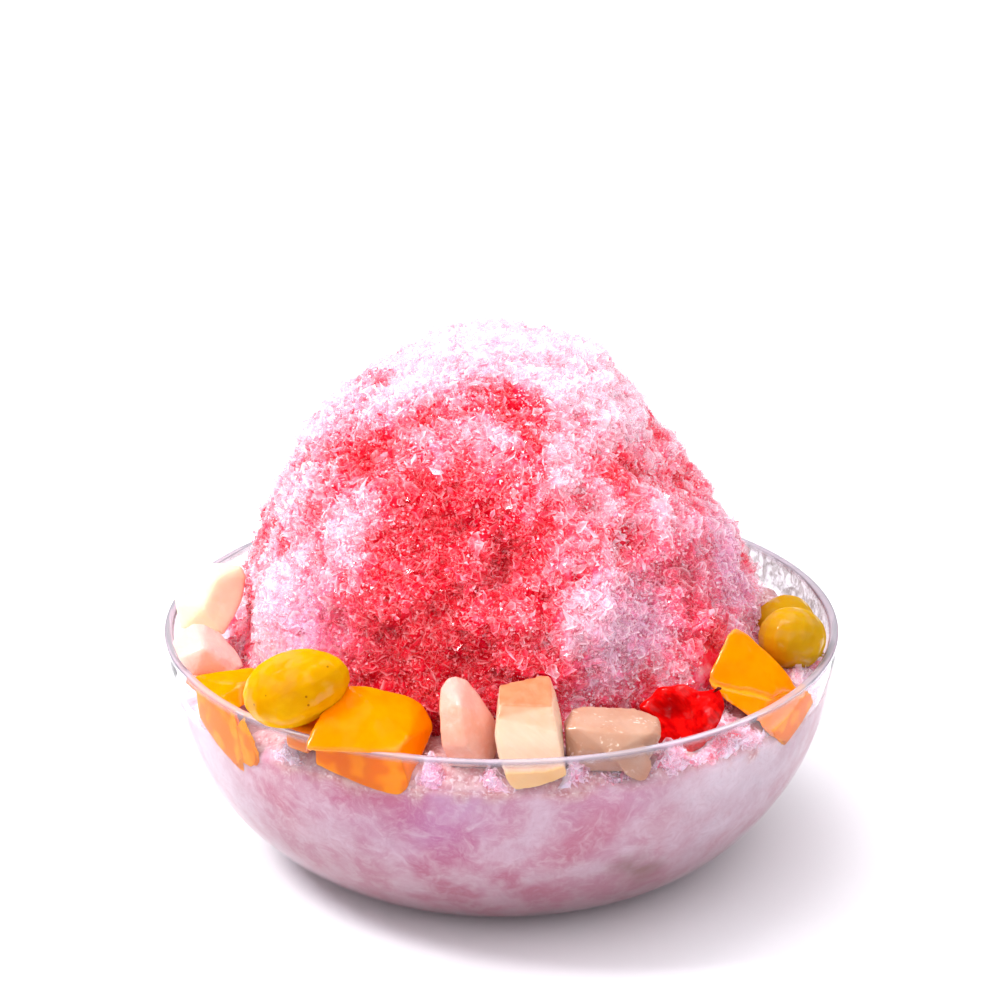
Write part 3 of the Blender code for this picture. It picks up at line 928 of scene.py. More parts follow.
def pear_finish():
    """Cream where it was peeled, tan on its upper cut, and beige where 'beige' says so, painted lighter on
    faces turned up as painted top light.
    """
    finish = Finish("pear")
    ridges = finish.noise(1.3, 2.0, 0.5, where=finish.drawn_out((0, 35, 0), (6, 6, 1)))
    cream = finish.mix(finish.noise(6.0).rise(0.3, 0.7), srgb(228, 182, 150), srgb(232, 198, 172))
    cream = finish.mix(ridges.rise(0.5, 0.8) * 0.3, cream, srgb(240, 208, 184))
    cream = finish.mix(finish.kept("pressed") * 0.7, cream, srgb(228, 182, 112))
    tan = finish.mix(finish.noise(3.0).rise(0.3, 0.7), srgb(204, 118, 76), srgb(214, 138, 98))
    colour = finish.mix(finish.kept("up").rise(0.5, 0.8), cream, tan)
    colour = finish.mix(finish.kept("pale"), colour, srgb(250, 226, 192))
    speck = 1 - finish.away((7.6, -71.6, 51.2)).rise(0.25, 0.45)
    colour = finish.mix(speck * 0.8, colour, srgb(120, 70, 40))
    beige = finish.mix(finish.noise(5.0, 2.0).rise(0.3, 0.7), srgb(180, 130, 104), srgb(188, 148, 126))
    scrape = finish.noise(0.9, 2.0).rise(0.55, 0.7) * finish.noise(4.0).rise(0.48, 0.6)
    # Painted top light: the beige is lighter on faces turned up
    beige = finish.mix(finish.kept("up").rise(0.3, 0.9) * 0.15, beige, srgb(218, 178, 154))
    beige = finish.mix(scrape * 0.7, beige, srgb(240, 222, 208))
    colour = finish.mix(finish.kept("beige"), colour, beige)
    shader = finish.principled(
        Base_Color=colour,
        Roughness=finish.noise(2.0).rise(0.2, 0.9) * 0.25 + 0.25,
        Normal=finish.bump(ridges + finish.noise(0.7, 2.0) * 0.3, 0.25, 0.5),
        Subsurface_Weight=0.45,
        Subsurface_Radius=(1.0, 0.6, 0.35),
        Subsurface_Scale=0.004,
        Specular_IOR_Level=0.2,
        Coat_Weight=finish.noise(1.5, 2.0).rise(0.45, 0.65) * 0.35 + finish.kept("bevel") * 0.6,
        Coat_Roughness=0.08,
    )
    return finish.done(shader)


def cherry_finish():
    """Glossy red skin, painted darker in the low parts of its folds and in its hollow as painted shade, and
    a brown stalk.
    """
    finish = Finish("cherry")
    folds = finish.noise(1.6, 3.0, 0.6, where=finish.drawn_out((0, 50, 20), (5, 1, 1)))
    # Painted shade: darker where the folds' bump lies low
    colour = finish.mix(folds.rise(0.35, 0.7), srgb(184, 0, 4), srgb(242, 16, 12))
    # Painted shade: darker red in the hollow
    colour = finish.mix(finish.kept("hollow").rise(0.2, 0.9) * 0.6, colour, srgb(176, 0, 2))
    colour = finish.mix(finish.kept("stalk"), colour, srgb(70, 20, 16))
    shader = finish.principled(
        Base_Color=colour,
        Roughness=0.12,
        Normal=finish.bump(folds, 0.4, 0.5),
        Subsurface_Weight=0.3,
        Subsurface_Radius=(1.0, 0.04, 0.03),
        Subsurface_Scale=0.003,
        Specular_IOR_Level=0.0,
        Coat_Weight=finish.noise(3.0, 1.0).rise(0.5, 0.6) * 0.45 + 0.02,
        Coat_Roughness=0.04,
    )
    return finish.done(shader)


# ------------------------------------------------------------------ what a user may change


LENGTH = {"unit": "LENGTH", "precision": 5}


def number(name, description, default, **more):
    """A setting that a user may change."""
    return bpy.props.FloatProperty(name=name, description=description, default=default, **more)


class BowlSettings(bpy.types.PropertyGroup):
    around: bpy.props.IntProperty(
        name="Segments", description="Segments round the bowl", default=192, min=32
    )
    wall: number("Wall", "Thickness of the wall", WALL, **LENGTH)
    ripple: number("Ripple", "How far the rippled wall swells and sinks", 0.00022, **LENGTH)


class IceSettings(bpy.types.PropertyGroup):
    voxel: number("Grain of the heap", "Size of the smallest relief on the packed ice", 0.0007, **LENGTH)
    sink: number("Room for loose ice", "How far the packed ice lies below its outline", 0.0012, **LENGTH)
    flakes: number("Flakes", "Flakes on each square metre", 620000.0)
    splinters: number("Splinters", "Splinters on each square metre", 220000.0)
    crystals: number("Crystals", "Small crystals on each square metre", 1250000.0)


class StudioSettings(bpy.types.PropertyGroup):
    floor: bpy.props.FloatVectorProperty(
        name="Floor",
        description="Colour of the floor",
        default=srgb(250, 250, 252),
        subtype="COLOR",
        size=3,
    )
    key: number("Key light", "Power of the brightest light", 6.5, unit="POWER")
    sky: number("Sky", "Strength of the light from all round", 1.0)


SETTINGS = {
    "ice_bowl": BowlSettings,
    "ice_heap": IceSettings,
    "ice_studio": StudioSettings,
}


# ------------------------------------------------------------------ loose ice


def flake_shape():
    """A thin bent flake, one across: a middle point and eight uneven corners."""
    reach = (1.0, 0.78, 1.08, 0.7, 0.95, 1.12, 0.72, 0.9)
    lift = (0.05, 0.28, 0.02, 0.2, -0.12, 0.22, 0.1, -0.05)
    points = [(0.05, -0.04, -0.03)]
    for k, (far, high) in enumerate(zip(reach, lift)):
        angle = 2 * math.pi * k / 8
        points.append((far * math.cos(angle) * 0.5, far * math.sin(angle) * 0.42, high * 0.4))
    faces = [(0, 1 + k, 1 + (k + 1) % 8) for k in range(8)]
    return points, faces, [0.0] + [1.0] * 8


def splinter_shape():
    """A long folded splinter along X: a ridge of three points and a thin edge on each side."""
    points = [
        (-0.5, 0.0, 0.02),
        (-0.16, 0.02, 0.07),
        (0.2, -0.02, 0.06),
        (0.5, 0.03, 0.0),
        (-0.2, 0.13, -0.02),
        (0.18, 0.10, -0.05),
        (-0.14, -0.11, -0.04),
        (0.24, -0.13, -0.02),
    ]
    faces = [(0, 4, 1), (1, 4, 5), (1, 5, 2), (2, 5, 3), (0, 1, 6), (1, 7, 6), (1, 2, 7), (2, 3, 7)]
    faces = [tuple(reversed(face)) for face in faces]
    return points, faces, [0.9, 0.3, 0.3, 0.9, 1.0, 1.0, 1.0, 1.0]


def crystal_shape():
    """A small chip of clear ice with four faces."""
    points = [(0.5, 0.05, -0.1), (-0.26, 0.42, -0.06), (-0.24, -0.4, -0.12), (0.03, 0.02, 0.44)]
    faces = [(3, 0, 1), (3, 1, 2), (3, 2, 0), (0, 2, 1)]
    # Nearly every corner counts as edge, so the chip takes the painted edge highlight almost all over
    return points, faces, [1.0, 0.9, 0.9, 1.0]


class Tree(Graph):
    """A Geometry Nodes tree under construction."""

    def __init__(self, name):
        super().__init__(bpy.data.node_groups.new(name, "GeometryNodeTree"))
        for way in ("OUTPUT", "INPUT"):
            self.tree.interface.new_socket("Geometry", in_out=way, socket_type="NodeSocketGeometry")
        self.ground = self.node("NodeGroupInput")

    def given(self, name, kind="Float"):
        """An input that a modifier sets."""
        self.tree.interface.new_socket(name, in_out="INPUT", socket_type="NodeSocket" + kind)
        return self.ground.beside(name)

    def kept(self, name, kind="FLOAT"):
        """A number or a vector kept on the ground."""
        return self.node("GeometryNodeInputNamedAttribute", {"data_type": kind}, {"Name": name})

    def vector(self, x, y, z):
        return self.node("ShaderNodeCombineXYZ", {}, {0: x, 1: y, 2: z})

    def chance(self, low, high, seed):
        """A random number between two others, for each point."""
        inputs = {2: low, 3: high, "Seed": seed}
        return self.node("FunctionNodeRandomValue", {"data_type": "FLOAT"}, inputs, out=1)

    def done(self, geometry):
        self.node("NodeGroupOutput", {}, {0: geometry})
        return self.tree


def strewing_tree():
    """Strews one shape over a surface, denser where the surface's own number 'room' is higher."""
    tree = Tree("strew ice")
    shape = tree.given("Shape", "Object")
    density = tree.given("Density")
    smallest = tree.given("Smallest")
    largest = tree.given("Largest")
    lean = tree.given("Lean")
    flow = tree.given("Flow")
    lift = tree.given("Lift")
    seed = tree.given("Seed", "Int")
    look = tree.given("Finish", "Material")

    spots = tree.node(
        "GeometryNodeDistributePointsOnFaces",
        {"distribute_method": "RANDOM"},
        {"Mesh": tree.ground, "Density": tree.kept("room") * density, "Seed": seed},
    )
    turned = tree.node(
        "FunctionNodeAlignRotationToVector",
        {"axis": "X", "pivot_axis": "Z"},
        {
            "Rotation": spots.beside("Rotation"),
            "Vector": tree.kept("course", "FLOAT_VECTOR"),
            "Factor": flow,
        },
    )
    # A grain that follows the course of the syrup spins little, and any other spins freely
    whirl = (1.0 - flow) * 2.75 + 0.4
    spin = tree.vector(0.0, 0.0, tree.chance(whirl * -1.0, whirl, 77))
    back = lean * -1.0
    tilt = tree.node(
        "FunctionNodeRandomValue",
        {"data_type": "FLOAT_VECTOR"},
        {0: tree.vector(back, back, 0.0), 1: tree.vector(lean, lean, 0.0), "Seed": seed},
    )
    for turn in (spin, tilt):
        as_turn = tree.node("FunctionNodeEulerToRotation", {}, {0: turn})
        settings = {"rotation_space": "LOCAL"}
        turned = tree.node("FunctionNodeRotateRotation", settings, {0: turned, 1: as_turn})

    even = tree.chance(0.0, 1.0, 78)
    size = even * even * (largest - smallest) + smallest  # most grains are small
    grain = tree.node("GeometryNodeObjectInfo", {}, {0: shape}, out="Geometry")
    inputs = {0: spots.beside("Normal"), "Scale": lift}
    raised = tree.node("ShaderNodeVectorMath", {"operation": "SCALE"}, inputs)
    placed = tree.node("GeometryNodeSetPosition", {}, {"Geometry": spots, "Offset": raised})
    inputs = {"Points": placed, "Instance": grain, "Rotation": turned, "Scale": size}
    strewn = tree.node("GeometryNodeInstanceOnPoints", {}, inputs)
    real = tree.node("GeometryNodeRealizeInstances", {}, {0: strewn})
    dressed = tree.node("GeometryNodeSetMaterial", {}, {"Geometry": real, "Material": look})
    return tree.done(dressed)


def set_inputs(modifier, **values):
    """Sets a modifier's inputs by the identifiers of their sockets."""
    for item in modifier.node_group.interface.items_tree:
        if item.item_type == "SOCKET" and item.in_out == "INPUT" and item.name in values:
            modifier[item.identifier] = values[item.name]


def strew(name, shape, ground, finish, density, sizes, lean, flow, lift, seed):
    """Strews one kind of loose ice over the ground and gives back a piece with every grain real."""
    points, faces, rims = shape
    grain = new_piece(name + "_shape", mesh_of(name + "_shape", points, faces))
    piece = new_piece(name, ground.data.copy())
    modifier = piece.modifiers.new("strew", "NODES")
    modifier.node_group = bpy.data.node_groups.get("strew ice") or strewing_tree()
    set_inputs(
        modifier,
        Shape=grain,
        Density=density,
        Smallest=sizes[0],
        Largest=sizes[1],
        Lean=lean,
        Flow=flow,
        Lift=lift,
        Seed=seed,
        Finish=finish,
    )
    made_plain(piece)
    bpy.data.objects.remove(grain)
    mesh = piece.data
    places = coords(mesh).reshape(-1, len(points), 3)
    middles = places.mean(axis=1, keepdims=True)
    reach = np.linalg.norm(places - middles, axis=2).max(axis=1)[:, None, None]
    unevenness = 0.12  # how far corners stray, as a share of the grain's reach
    places += np.random.default_rng(seed).normal(0, unevenness, places.shape) * reach
    set_coords(mesh, places.reshape(-1, 3))
    centres = middles[:, 0] / MM
    count = len(centres)
    chance = np.random.default_rng(seed + 1)
    # Each grain and each of its corners hold a little more or less syrup, and one grain in eight much less
    each = chance.normal(0, 0.18, count) - 0.40 * (chance.random(count) < 0.12)
    every = chance.normal(0, 0.14, count * len(points))
    mark(mesh, "syrup", np.repeat(syrup_on_heap(centres) + each, len(points)) + every)
    mark(mesh, "lilac", np.repeat(spread(centres, LILAC), len(points)))
    mark(mesh, "rim", np.tile(rims, count) * chance.uniform(0.6, 1.15, count * len(points)))
    lay_out(mesh, points, faces, count)
    for layer in ("room", "course"):
        if mesh.attributes.get(layer):
            mesh.attributes.remove(mesh.attributes[layer])
    smooth_shaded(mesh, False)
    return piece


def lay_out(mesh, points, faces, count):
    """A UV map on which every grain has its own square."""
    across = math.ceil(math.sqrt(count))
    flat = np.array([(p[0], p[1] + 0.35 * p[2]) for p in points])
    flat = (flat - flat.min(axis=0)) / (flat.max(axis=0) - flat.min(axis=0)) * 0.8 + 0.1
    corners = flat[np.array(faces).ravel()]
    squares = np.stack([np.arange(count) % across, np.arange(count) // across], axis=1)
    uv = (squares[:, None, :] + corners[None]) / across
    layer = mesh.uv_layers.new(name="OFBake")
    layer.data.foreach_set("uv", uv.astype(np.float32).ravel())


def fruit_surfaces():
    """One tree of every fruit's surface, to keep loose ice off it."""
    points, faces = [], []
    for name in FRUIT:
        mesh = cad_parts[name].data
        start = len(points)
        points += [tuple(vertex.co) for vertex in mesh.vertices]
        faces += [tuple(start + k for k in face.vertices) for face in mesh.polygons]
    return BVHTree.FromPolygons(points, faces)


def clearance(points, surfaces):
    """Distance from each point to the nearest fruit, below zero inside it, and never more than 6 mm."""
    most = 0.006
    gaps = np.full(len(points), most)
    for k, point in enumerate(points):
        near, normal, _, gap = surfaces.find_nearest(Vector(point), most)
        if near is not None:
            gaps[k] = math.copysign(gap, (Vector(point) - near).dot(normal))
    return gaps


# ------------------------------------------------------------------ operators


class Maker(bpy.types.Operator):
    """Makes one group of pieces"""

    bl_options = {"REGISTER", "UNDO"}

    def execute(self, context):
        self.make(context.scene)
        return {"FINISHED"}


class ICE_OT_bowl(Maker):
    """Makes the clear bowl with its rippled wall and flat rim"""

    bl_idname = "shaved_ice.bowl"
    bl_label = "Bowl"

    def make(self, scene):
        bowl = scene.ice_bowl
        top, wall = BOWL_TOP, bowl.wall
        below_lip, floor_height = top - 0.0016, wall * 1.25
        outside = side_profile(0.0, 0.0, below_lip, 60)
        inside = side_profile(wall, floor_height, below_lip, 56)
        # The lip from outside to inside: how far in from the rim, and how far below the top
        lip = [(0.0001, 0.0009), (0.0, 0.0005), (0.00018, 0.00012), (0.0005, 0.0)]
        lip += [(wall - 0.0004, 0.0), (wall - 0.0001, 0.0002), (wall + 0.0001, 0.0007)]
        lip = [(RIM - inwards, top - down) for inwards, down in lip]
        foot = [(r, 0.0) for r in (0.0, 0.008, 0.016, 0.024, 0.032, 0.0375)]
        floor = [(r, floor_height) for r in (0.035, 0.026, 0.017, 0.008, 0.0)]
        mesh = lathe("bowl_clear", [*foot, *outside, *lip, *inside[::-1], *floor], bowl.around)
        points = coords(mesh)
        out, height = from_axis(points), points[:, 2]
        facing = points * (1, 1, 0) / np.maximum(out, 1e-6)[:, None]
        turn = np.stack([facing[:, 0] * 30, facing[:, 1] * 30, height / MM * 0.9], axis=1)
        inner = out < outer_radius(height) - wall * 0.5
        rippled = fade(height, 0.003, 0.006) * fade(height, top - 0.003, -0.004)
        wave = swell(turn, 6.0, 31) + 0.6 * swell(turn, 3.2, 32)
        shift = np.where(inner, wave, 0.35 * swell(turn, 9.0, 33) - 0.5) * rippled * bowl.ripple
        points -= facing * np.where(inner, np.abs(shift), -np.minimum(shift, 0))[:, None]
        set_coords(mesh, points)
        out, height = from_axis(points), points[:, 2]
        mark(mesh, "lip", fade(height, top - 0.0012, 0.0006))
        # The lip's corners are painted darker: painted shade
        edges = np.minimum(np.abs(out - RIM), np.abs(out - (RIM - wall)))
        mark(mesh, "corner", fade(edges, 0.0004, -0.0004))
        # Nothing lies against the wall above the ice at the back; there the wall is painted darker and
        # streaked as painted shade, and the streaks show most at the right
        behind = fade(points[:, 1], -0.004, 0.016) * (0.3 + 0.7 * fade(points[:, 0], 0.025, 0.02))
        mark(mesh, "free", fade(height, 0.043, 0.002) * behind)
        smooth_shaded(mesh)
        finished(new_piece("bowl_clear", mesh), clear_finish(), "clear_plastic", "bowl")


class ICE_OT_bed(Maker):
    """Makes the ice that fills the bowl and presses on its wall"""

    bl_idname = "shaved_ice.bed"
    bl_label = "Ice in the bowl"

    def make(self, scene):
        into_wall, floor, top = 0.00012, 0.0022, 0.0444
        wall = side_profile(WALL - into_wall, floor, 0.0418, 44)
        ledge = [(0.0712, 0.0432), (0.070, 0.0440), (0.068, 0.0444), (0.065, 0.0446)]
        ledge += [(r, top) for r in np.linspace(0.0635, 0.006, 34)]
        profile = [(0.0, floor), (0.012, floor), (0.024, floor), *wall, *ledge, (0.0, top)]
        mesh = lathe("ice_in_bowl", profile, 300)
        points = coords(mesh)
        spots = points / MM
        angle = np.arctan2(points[:, 1], points[:, 0])
        # The ice lies highest at the front right, and swells three times round the bowl
        tilt = 0.002 * np.cos(angle - math.radians(-60)) + 0.0012 * np.sin(3 * angle + 1)
        points[:, 2] += tilt * fade(points[:, 2], 0.030, 0.014)
        open_top = fade(points[:, 2], 0.0405, 0.002) * (from_axis(points) < 0.0715)
        rough, _ = shards(spots, 2.4, 41)
        points[:, 2] += open_top * (0.0009 * rough + 0.0005 * swell(spots, 5.0, 42))
        limit, out = wall_radius(points[:, 2], -into_wall), from_axis(points)
        hugs = (out > limit - 0.0006) & (points[:, 2] > 0.004)
        brought_to(points, hugs | (out > limit), limit)
        set_coords(mesh, points)
        spots = points / MM
        for name, places in (("lilac", LILAC), ("pale", PALE), ("runs", RUNS), ("dull", DULL)):
            mark(mesh, name, spread(spots, places))
        ragged = 2.2 * swell(spots * (1, 1, 0.4), 3.0, 44)
        mark(mesh, "top", fade(spots[:, 2] + ragged, 42.0, 2.0))
        smooth_shaded(mesh)
        finished(new_piece("ice_in_bowl", mesh), bed_finish(), "shaved_ice")


class ICE_OT_heap(Maker):
    """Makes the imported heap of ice, a little inside its outline"""

    bl_idname = "shaved_ice.heap"
    bl_label = "Heap of ice"

    def make(self, scene):
        ice = scene.ice_heap
        bottom = 0.041  # the heap goes on a little below the top of the ice in the bowl
        heap = new_piece("ice_heap", merged_copy("ice_heap", "shaved_ice"))
        points = coords(heap.data)
        points[:, 2] = np.maximum(points[:, 2], bottom)
        set_coords(heap.data, points)
        remeshed(heap, ice.voxel, 2)
        plain_underside(heap.data, bottom + 0.0006)
        mesh = heap.data
        points, out = coords(mesh), normals(mesh)
        spots = points / MM
        gaps = clearance(points, fruit_surfaces())
        facet, near_edge = shards(spots, 2.6, 51)
        small, _ = shards(spots, 1.35, 58)
        relief = lumps(spots) + 0.85 * facet + 0.38 * small - 0.6 * np.exp(-near_edge * 9)
        ring = fade(spots[:, 2], 56, -6) * (spots[:, 2] > 42.5) * (out[:, 2] > 0.2)
        for x, y, reach, height in CRUMBS:
            gap = np.hypot(spots[:, 0] - x, spots[:, 1] - y) / reach
            points[:, 2] += height * MM * np.exp(-gap * gap) * ring
        calm = np.clip(gaps / 0.0015, 0.15, 1)  # little relief right beside the fruit
        points += out * ((relief * MM * calm - ice.sink) * fade(spots[:, 2], 43.0, 2.0))[:, None]
        crown, room_above = 0.1165, 0.0034  # what stands above the crown is pressed into this room
        over = np.maximum(points[:, 2] - crown, 0)
        points[:, 2] += room_above * np.tanh(over / room_above) - over
        limit = wall_radius(points[:, 2], 0.0008)
        inside = points[:, 2] < BOWL_TOP + 0.001
        brought_to(points, inside & (from_axis(points) > limit), limit)
        set_coords(mesh, points)
        streaks = 0.16 * swell(spots, 2.2, 22) + 0.10 * swell(spots, 1.2, 23)
        # Higher facets hold less syrup: a painted highlight on them, and painted shade on the lower ones
        mark(mesh, "syrup", syrup_on_heap(spots) - 0.10 * facet + streaks + 0.06)
        # The facets' edges are painted paler: a painted highlight
        mark(mesh, "edge", np.exp(-near_edge * 13) * (swell(spots, 3.5, 24) > -0.1))
        mark(mesh, "lilac", spread(spots, LILAC))
        # Loose ice keeps off the fruit and off what faces down
        room = fade(gaps, 0.0006, 0.001) * (spots[:, 2] > 44.0)
        mark(mesh, "room", room * fade(normals(mesh)[:, 2], -0.5, 0.2))
        course = np.stack([swell(spots, 16.0, seed) for seed in (61, 62, 63)], axis=1)
        course = course * 1.3 - np.array((0, 0, 0.7))
        layer = mesh.attributes.new("course", "FLOAT_VECTOR", "POINT")
        layer.data.foreach_set("vector", course.astype(np.float32).ravel())
        smooth_shaded(mesh, False)
        finished(heap, heap_finish(), "shaved_ice", "shaved_ice")


# The kinds of loose ice: shape, how much whiter than the packed ice, how solid, smallest and largest
# size, how far it leans, how far it follows the course of the syrup, how high it lies, and seed
GRAINS = {
    "flakes": (flake_shape, 0.08, 0.35, (0.0016, 0.0046), 0.7, 0.35, 0.0003, 3),
    "splinters": (splinter_shape, 0.14, 1.0, (0.0014, 0.0042), 0.6, 0.6, 0.0005, 4),
    "crystals": (crystal_shape, 0.20, 1.0, (0.0004, 0.0013), 3.1, 0.0, 0.0005, 5),
}


class ICE_OT_loose(Maker):
    """Strews flakes, splinters and small crystals over the heap"""

    bl_idname = "shaved_ice.loose"
    bl_label = "Loose ice"

    def make(self, scene):
        ground = bpy.data.objects["ice_heap"]
        for name, (shape, whiteness, body, *laid) in GRAINS.items():
            finish = flake_finish("ice " + name, whiteness, body)
            density = getattr(scene.ice_heap, name)
            piece = strew("ice_" + name, shape(), ground, finish, density, *laid)
            inside_box(piece.data)
            finished(piece, finish, "shaved_ice")


def inside_box(mesh):
    """Keeps loose ice under the top of the heap and inside the bowl's wall."""
    points = coords(mesh)
    points[:, 2] = np.minimum(points[:, 2], CAD_BOX[1][2] - 0.0001)
    limit = wall_radius(points[:, 2], 0.0002)
    in_bowl = points[:, 2] < BOWL_TOP + 0.0005
    brought_to(points, in_bowl & (from_axis(points) > limit), limit)
    set_coords(mesh, points)


def bevels(mesh, points, out):
    """Where the mesh has a sharp edge: 1 for points that stand well proud of those round them."""
    ends = np.empty(len(mesh.edges) * 2, dtype=np.int64)
    mesh.edges.foreach_get("vertices", ends)
    ends = ends.reshape(-1, 2)
    around = np.zeros_like(points)
    for here, there in ((0, 1), (1, 0)):
        for axis in range(3):
            around[:, axis] += np.bincount(ends[:, here], points[ends[:, there], axis], len(points))
    around /= np.maximum(np.bincount(ends.ravel(), minlength=len(points)), 1)[:, None]
    proud = ((points - around) * out).sum(axis=1)
    return fade(proud, 0.00001, 0.00001)


def kind_of(node):
    return node.split("_")[0]


def finer_fruit(node):
    """A finer copy of a piece of fruit, worn and dented, pressed against the wall where it meets it."""
    name = node + "_flesh"
    rounds, dents = WEAR[kind_of(node)]
    shape = hulled(name, node) if node in CORNERS else merged_copy(name, node)
    piece = remeshed(new_piece(name, shape), FRUIT_VOXEL, rounds)
    mesh = piece.data
    points, out = coords(mesh), normals(mesh)
    spots = points / MM
    wobble = dents * (swell(spots, 5.0, 71) + 0.5 * swell(spots, 2.2, 72) + 0.1 * swell(spots, 1.0, 73))
    crack = spots[:, 2] - 54 + 0.3 * (spots[:, 0] - 47) - 0.5 * swell(spots, 3.0, 74)
    crack = np.exp(-((crack / 0.35) ** 2)) * (node == "mango_wedge_right")
    points += out * ((wobble - 0.4 * crack) * MM)[:, None]
    wall = wall_radius(points[:, 2], 0.0)
    meets = (from_axis(points) > wall - 0.0007) & (points[:, 2] < BOWL_TOP - 0.0004)
    brought_to(points, meets, wall + 0.00028)
    set_coords(mesh, points)
    mark(mesh, "bevel", bevels(mesh, points, out) * ~meets)
    mark(mesh, "pressed", meets)
    mark(mesh, "crack", crack)
    mark(mesh, "up", out[:, 2])
    for look, nodes in (("beige", BEIGE), ("pale", PALER)):
        mark(mesh, look, np.full(len(points), float(node in nodes)))
    smooth_shaded(mesh)
    return piece


class FruitMaker(Maker):
    """Makes the pieces of one kind of fruit"""

    def make(self, scene):
        finish = self.look()
        for node in FRUIT:
            if kind_of(node) in self.kinds:
                finished(finer_fruit(node), finish, self.kinds[0], node)


class ICE_OT_mango(FruitMaker):
    """Makes the cut mango"""

    bl_idname = "shaved_ice.mango"
    bl_label = "Mango"
    kinds = ("mango",)
    look = staticmethod(mango_finish)


class ICE_OT_grapes(FruitMaker):
    """Makes the peeled grapes"""

    bl_idname = "shaved_ice.grapes"
    bl_label = "Grapes"
    kinds = ("grape",)
    look = staticmethod(grape_finish)


class ICE_OT_peaches(FruitMaker):
    """Makes the peach wedges"""

    bl_idname = "shaved_ice.peaches"
    bl_label = "Peaches"
    kinds = ("peach",)
    look = staticmethod(peach_finish)


class ICE_OT_pears(FruitMaker):
    """Makes the pear blocks and the melon chunk"""

    bl_idname = "shaved_ice.pears"
    bl_label = "Pears and melon"
    kinds = ("pear", "melon")
    look = staticmethod(pear_finish)


def halved_cherry(name, centre, turn):
    """A halved cherry that lies open, with folded skin on one side and the end of its stalk."""
    around, steps, middle = 144, 30, 0.5
    outline = np.array(CHERRY) - (middle, 0.0)
    bearing = np.arctan2(outline[:, 1], outline[:, 0])
    order = np.argsort(bearing)
    angle = np.linspace(-math.pi, math.pi, around, endpoint=False)
    reach = np.interp(angle, bearing[order], np.hypot(*outline[order].T), period=2 * math.pi)
    reach = (reach + np.roll(reach, 1) + np.roll(reach, -1)) / 3
    shares = [*np.linspace(0, 1, steps), *np.linspace(1, 0, steps // 2)[1:]]
    rings = []
    for step, share in enumerate(shares):
        x, y = reach * share * np.cos(angle) + middle, reach * share * np.sin(angle)
        pit = np.exp(-((x + 1.8) ** 2 / 14 + (y - 0.9) ** 2 / 8))
        lobe = np.exp(-((x - 6.0) ** 2 / 7 + (y + 0.2) ** 2 / 14))
        lip = np.exp(-((x + 3.8) ** 2 + (y + 2.6) ** 2) / 5)
        fold = np.sin((x * 0.75 - y * 0.66) * 3.6 + 0.8 * np.sin(y)) * fade(x, 1.5, 3)
        crease = 0.35 * np.sin(x * 1.1 + y * 1.7 + 0.7) * fade(share, 0.35, 0.4)
        depth = 2.6 * lobe + 0.5 * lip - 2.2 * pit + 0.26 * fold * share + crease
        depth = depth * (1 - 0.5 * share**6) - 1.8 * share**8
        if step >= steps:  # the rounded back
            depth = depth - 5.5 * math.sqrt(1 - share * share)
        ring = np.stack([x, y, depth, pit], axis=1)
        rings.append(ring if share else ring[:1])
    points, faces = skin(rings[::-1])
    path = ((6.6, 4.9, -1.2), (7.3, 5.6, -0.5), (7.7, 6.0, 0.0), (8.3, 6.0, 0.3))
    stalk, stalk_faces = tube(path, (0.4, 0.35, 0.4, 0.25))
    faces += [tuple(len(points) + k for k in face) for face in stalk_faces]
    hollows = np.append(points[:, 3], np.zeros(len(stalk)))
    stalks = np.repeat([0.0, 1.0], (len(points), len(stalk)))
    # The open side faces the camera, turned round Z for a cherry elsewhere on the ring
    up, out = (0, math.cos(TILT), math.sin(TILT)), (0, -math.sin(TILT), math.cos(TILT))
    placed = np.concatenate([points[:, :3], stalk]) @ np.array(((1, 0, 0), up, out))
    placed = placed @ np.array(Euler((0, 0, turn)).to_matrix().transposed())
    mesh = mesh_of(name, placed * MM + centre, faces)
    mark(mesh, "hollow", hollows)
    mark(mesh, "stalk", stalks)
    smooth_shaded(mesh)
    return mesh


class ICE_OT_cherries(Maker):
    """Makes the halved cherries"""

    bl_idname = "shaved_ice.cherries"
    bl_label = "Cherries"

    def make(self, scene):
        finish = cherry_finish()
        for node, turn in (("cherry_half", 0.0), ("cherry_half_back", 2.75)):
            low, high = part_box(node)
            mesh = halved_cherry(node + "_flesh", np.array((low + high) / 2), turn)
            finished(new_piece(node + "_flesh", mesh), finish, "cherry", node)


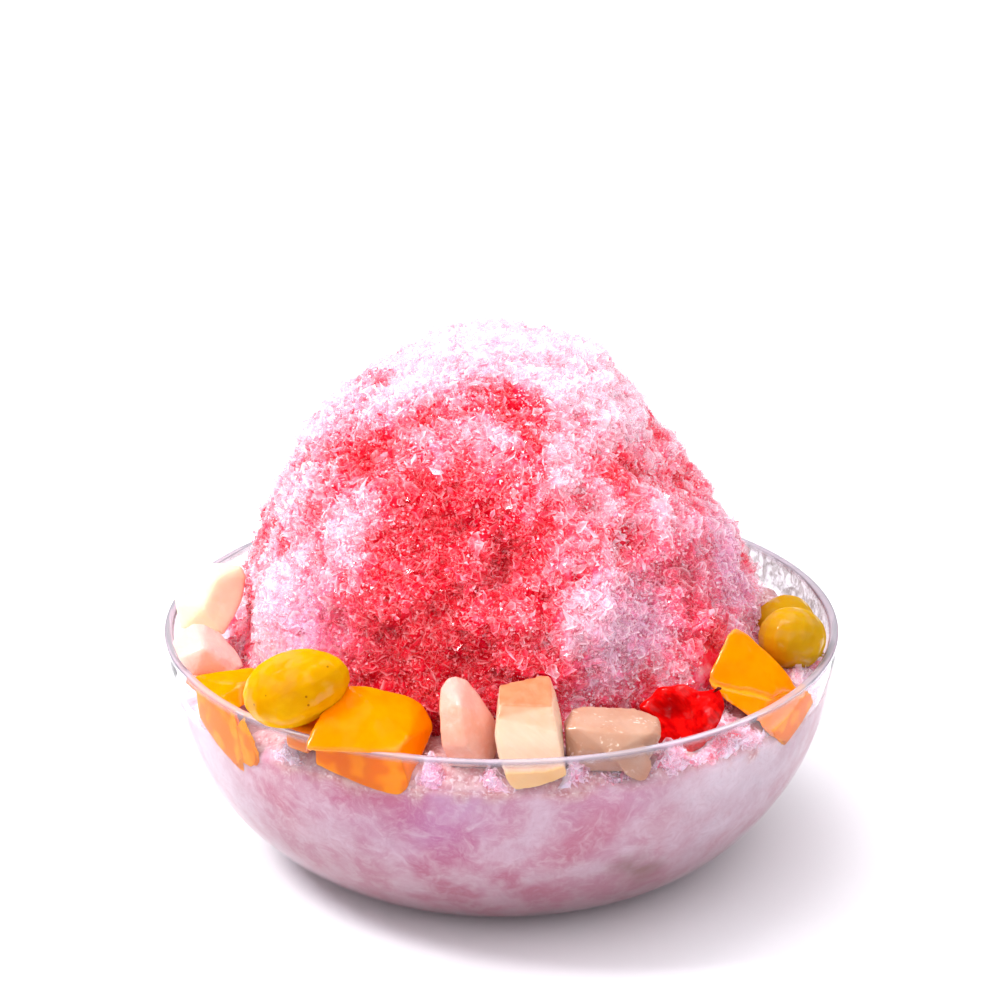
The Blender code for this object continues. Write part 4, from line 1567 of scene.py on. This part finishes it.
class ICE_OT_studio(Maker):
    """Makes the floor, the lights and the camera"""

    bl_idname = "shaved_ice.studio"
    bl_label = "Studio"

    def make(self, scene):
        studio = scene.ice_studio
        side = 4  # metres from the middle of the floor to each of its sides
        corners = [(x * side, y * side, 0) for x, y in ((-1, -1), (1, -1), (1, 1), (-1, 1))]
        floor = mesh_of("floor", corners, [(0, 1, 2, 3)])
        finish = Finish("pale floor")
        shader = finish.principled(Base_Color=studio.floor, Roughness=0.9, Specular_IOR_Level=0.0)
        floor.materials.append(finish.done(shader))
        new_piece("floor", floor)

        world = bpy.data.worlds.new("studio")
        sky = Finish("studio", world)
        shade = sky.mix(sky.height().rise(-0.05, 0.85), (0.34, 0.33, 0.37), (1.35, 1.33, 1.36))
        settings = {"Color": shade, "Strength": studio.sky}
        sky.done(sky.node("ShaderNodeBackground", {}, settings), "ShaderNodeOutputWorld")
        scene.world = world

        # Name, place, size and share of the power
        lights = (
            ("key", (-0.55, -0.10, 0.80), 0.22, 1.0),
            ("fill", (0.35, -0.80, 0.60), 0.70, 0.12),
            ("top", (-0.12, 0.12, 1.00), 0.50, 0.42),
        )
        for name, place, size, share in lights:
            light = bpy.data.lights.new(name, "AREA")
            light.shape = "SQUARE"
            light.size = size
            light.energy = studio.key * share
            lamp = bpy.data.objects.new(name, light)
            lamp.location = place
            aim = Vector((0, 0, 0.05)) - Vector(place)
            lamp.rotation_euler = aim.to_track_quat("-Z", "Y").to_euler()
            scene.collection.objects.link(lamp)

        camera = bpy.data.cameras.new("camera")
        camera.sensor_width = SENSOR
        camera.lens = LENS
        eye = bpy.data.objects.new("camera", camera)
        eye.location = EYE
        eye.rotation_euler = Euler((TILT, 0, 0))
        scene.collection.objects.link(eye)
        scene.camera = eye
        scene.view_settings.view_transform = "Standard"
        scene.cycles.max_bounces = 8
        scene.cycles.diffuse_bounces = 3
        scene.cycles.glossy_bounces = 4
        scene.cycles.transmission_bounces = 8
        scene.cycles.transparent_max_bounces = 14


MAKERS = (
    ICE_OT_studio,
    ICE_OT_bowl,
    ICE_OT_bed,
    ICE_OT_heap,
    ICE_OT_loose,
    ICE_OT_mango,
    ICE_OT_grapes,
    ICE_OT_peaches,
    ICE_OT_pears,
    ICE_OT_cherries,
)


class ICE_PT_panel(bpy.types.Panel):
    """Lists the settings and the steps"""

    bl_idname = "ICE_PT_panel"
    bl_label = "Shaved Ice"
    bl_space_type = "VIEW_3D"
    bl_region_type = "UI"
    bl_category = "Shaved Ice"

    def draw(self, context):
        for name, group in SETTINGS.items():
            box = self.layout.box()
            for setting in group.__annotations__:
                box.prop(getattr(context.scene, name), setting)
        for maker in MAKERS:
            self.layout.operator(maker.bl_idname)


def register():
    for group in SETTINGS.values():
        bpy.utils.register_class(group)
    for name, group in SETTINGS.items():
        setattr(bpy.types.Scene, name, bpy.props.PointerProperty(type=group))
    for maker in MAKERS:
        bpy.utils.register_class(maker)
    bpy.utils.register_class(ICE_PT_panel)


def unregister():
    bpy.utils.unregister_class(ICE_PT_panel)
    for maker in reversed(MAKERS):
        bpy.utils.unregister_class(maker)
    for name, group in reversed(SETTINGS.items()):
        delattr(bpy.types.Scene, name)
        bpy.utils.unregister_class(group)


def main():
    register()
    for maker in MAKERS:
        group, name = maker.bl_idname.split(".")
        getattr(getattr(bpy.ops, group), name)()


if __name__ == "__main__":
    main()
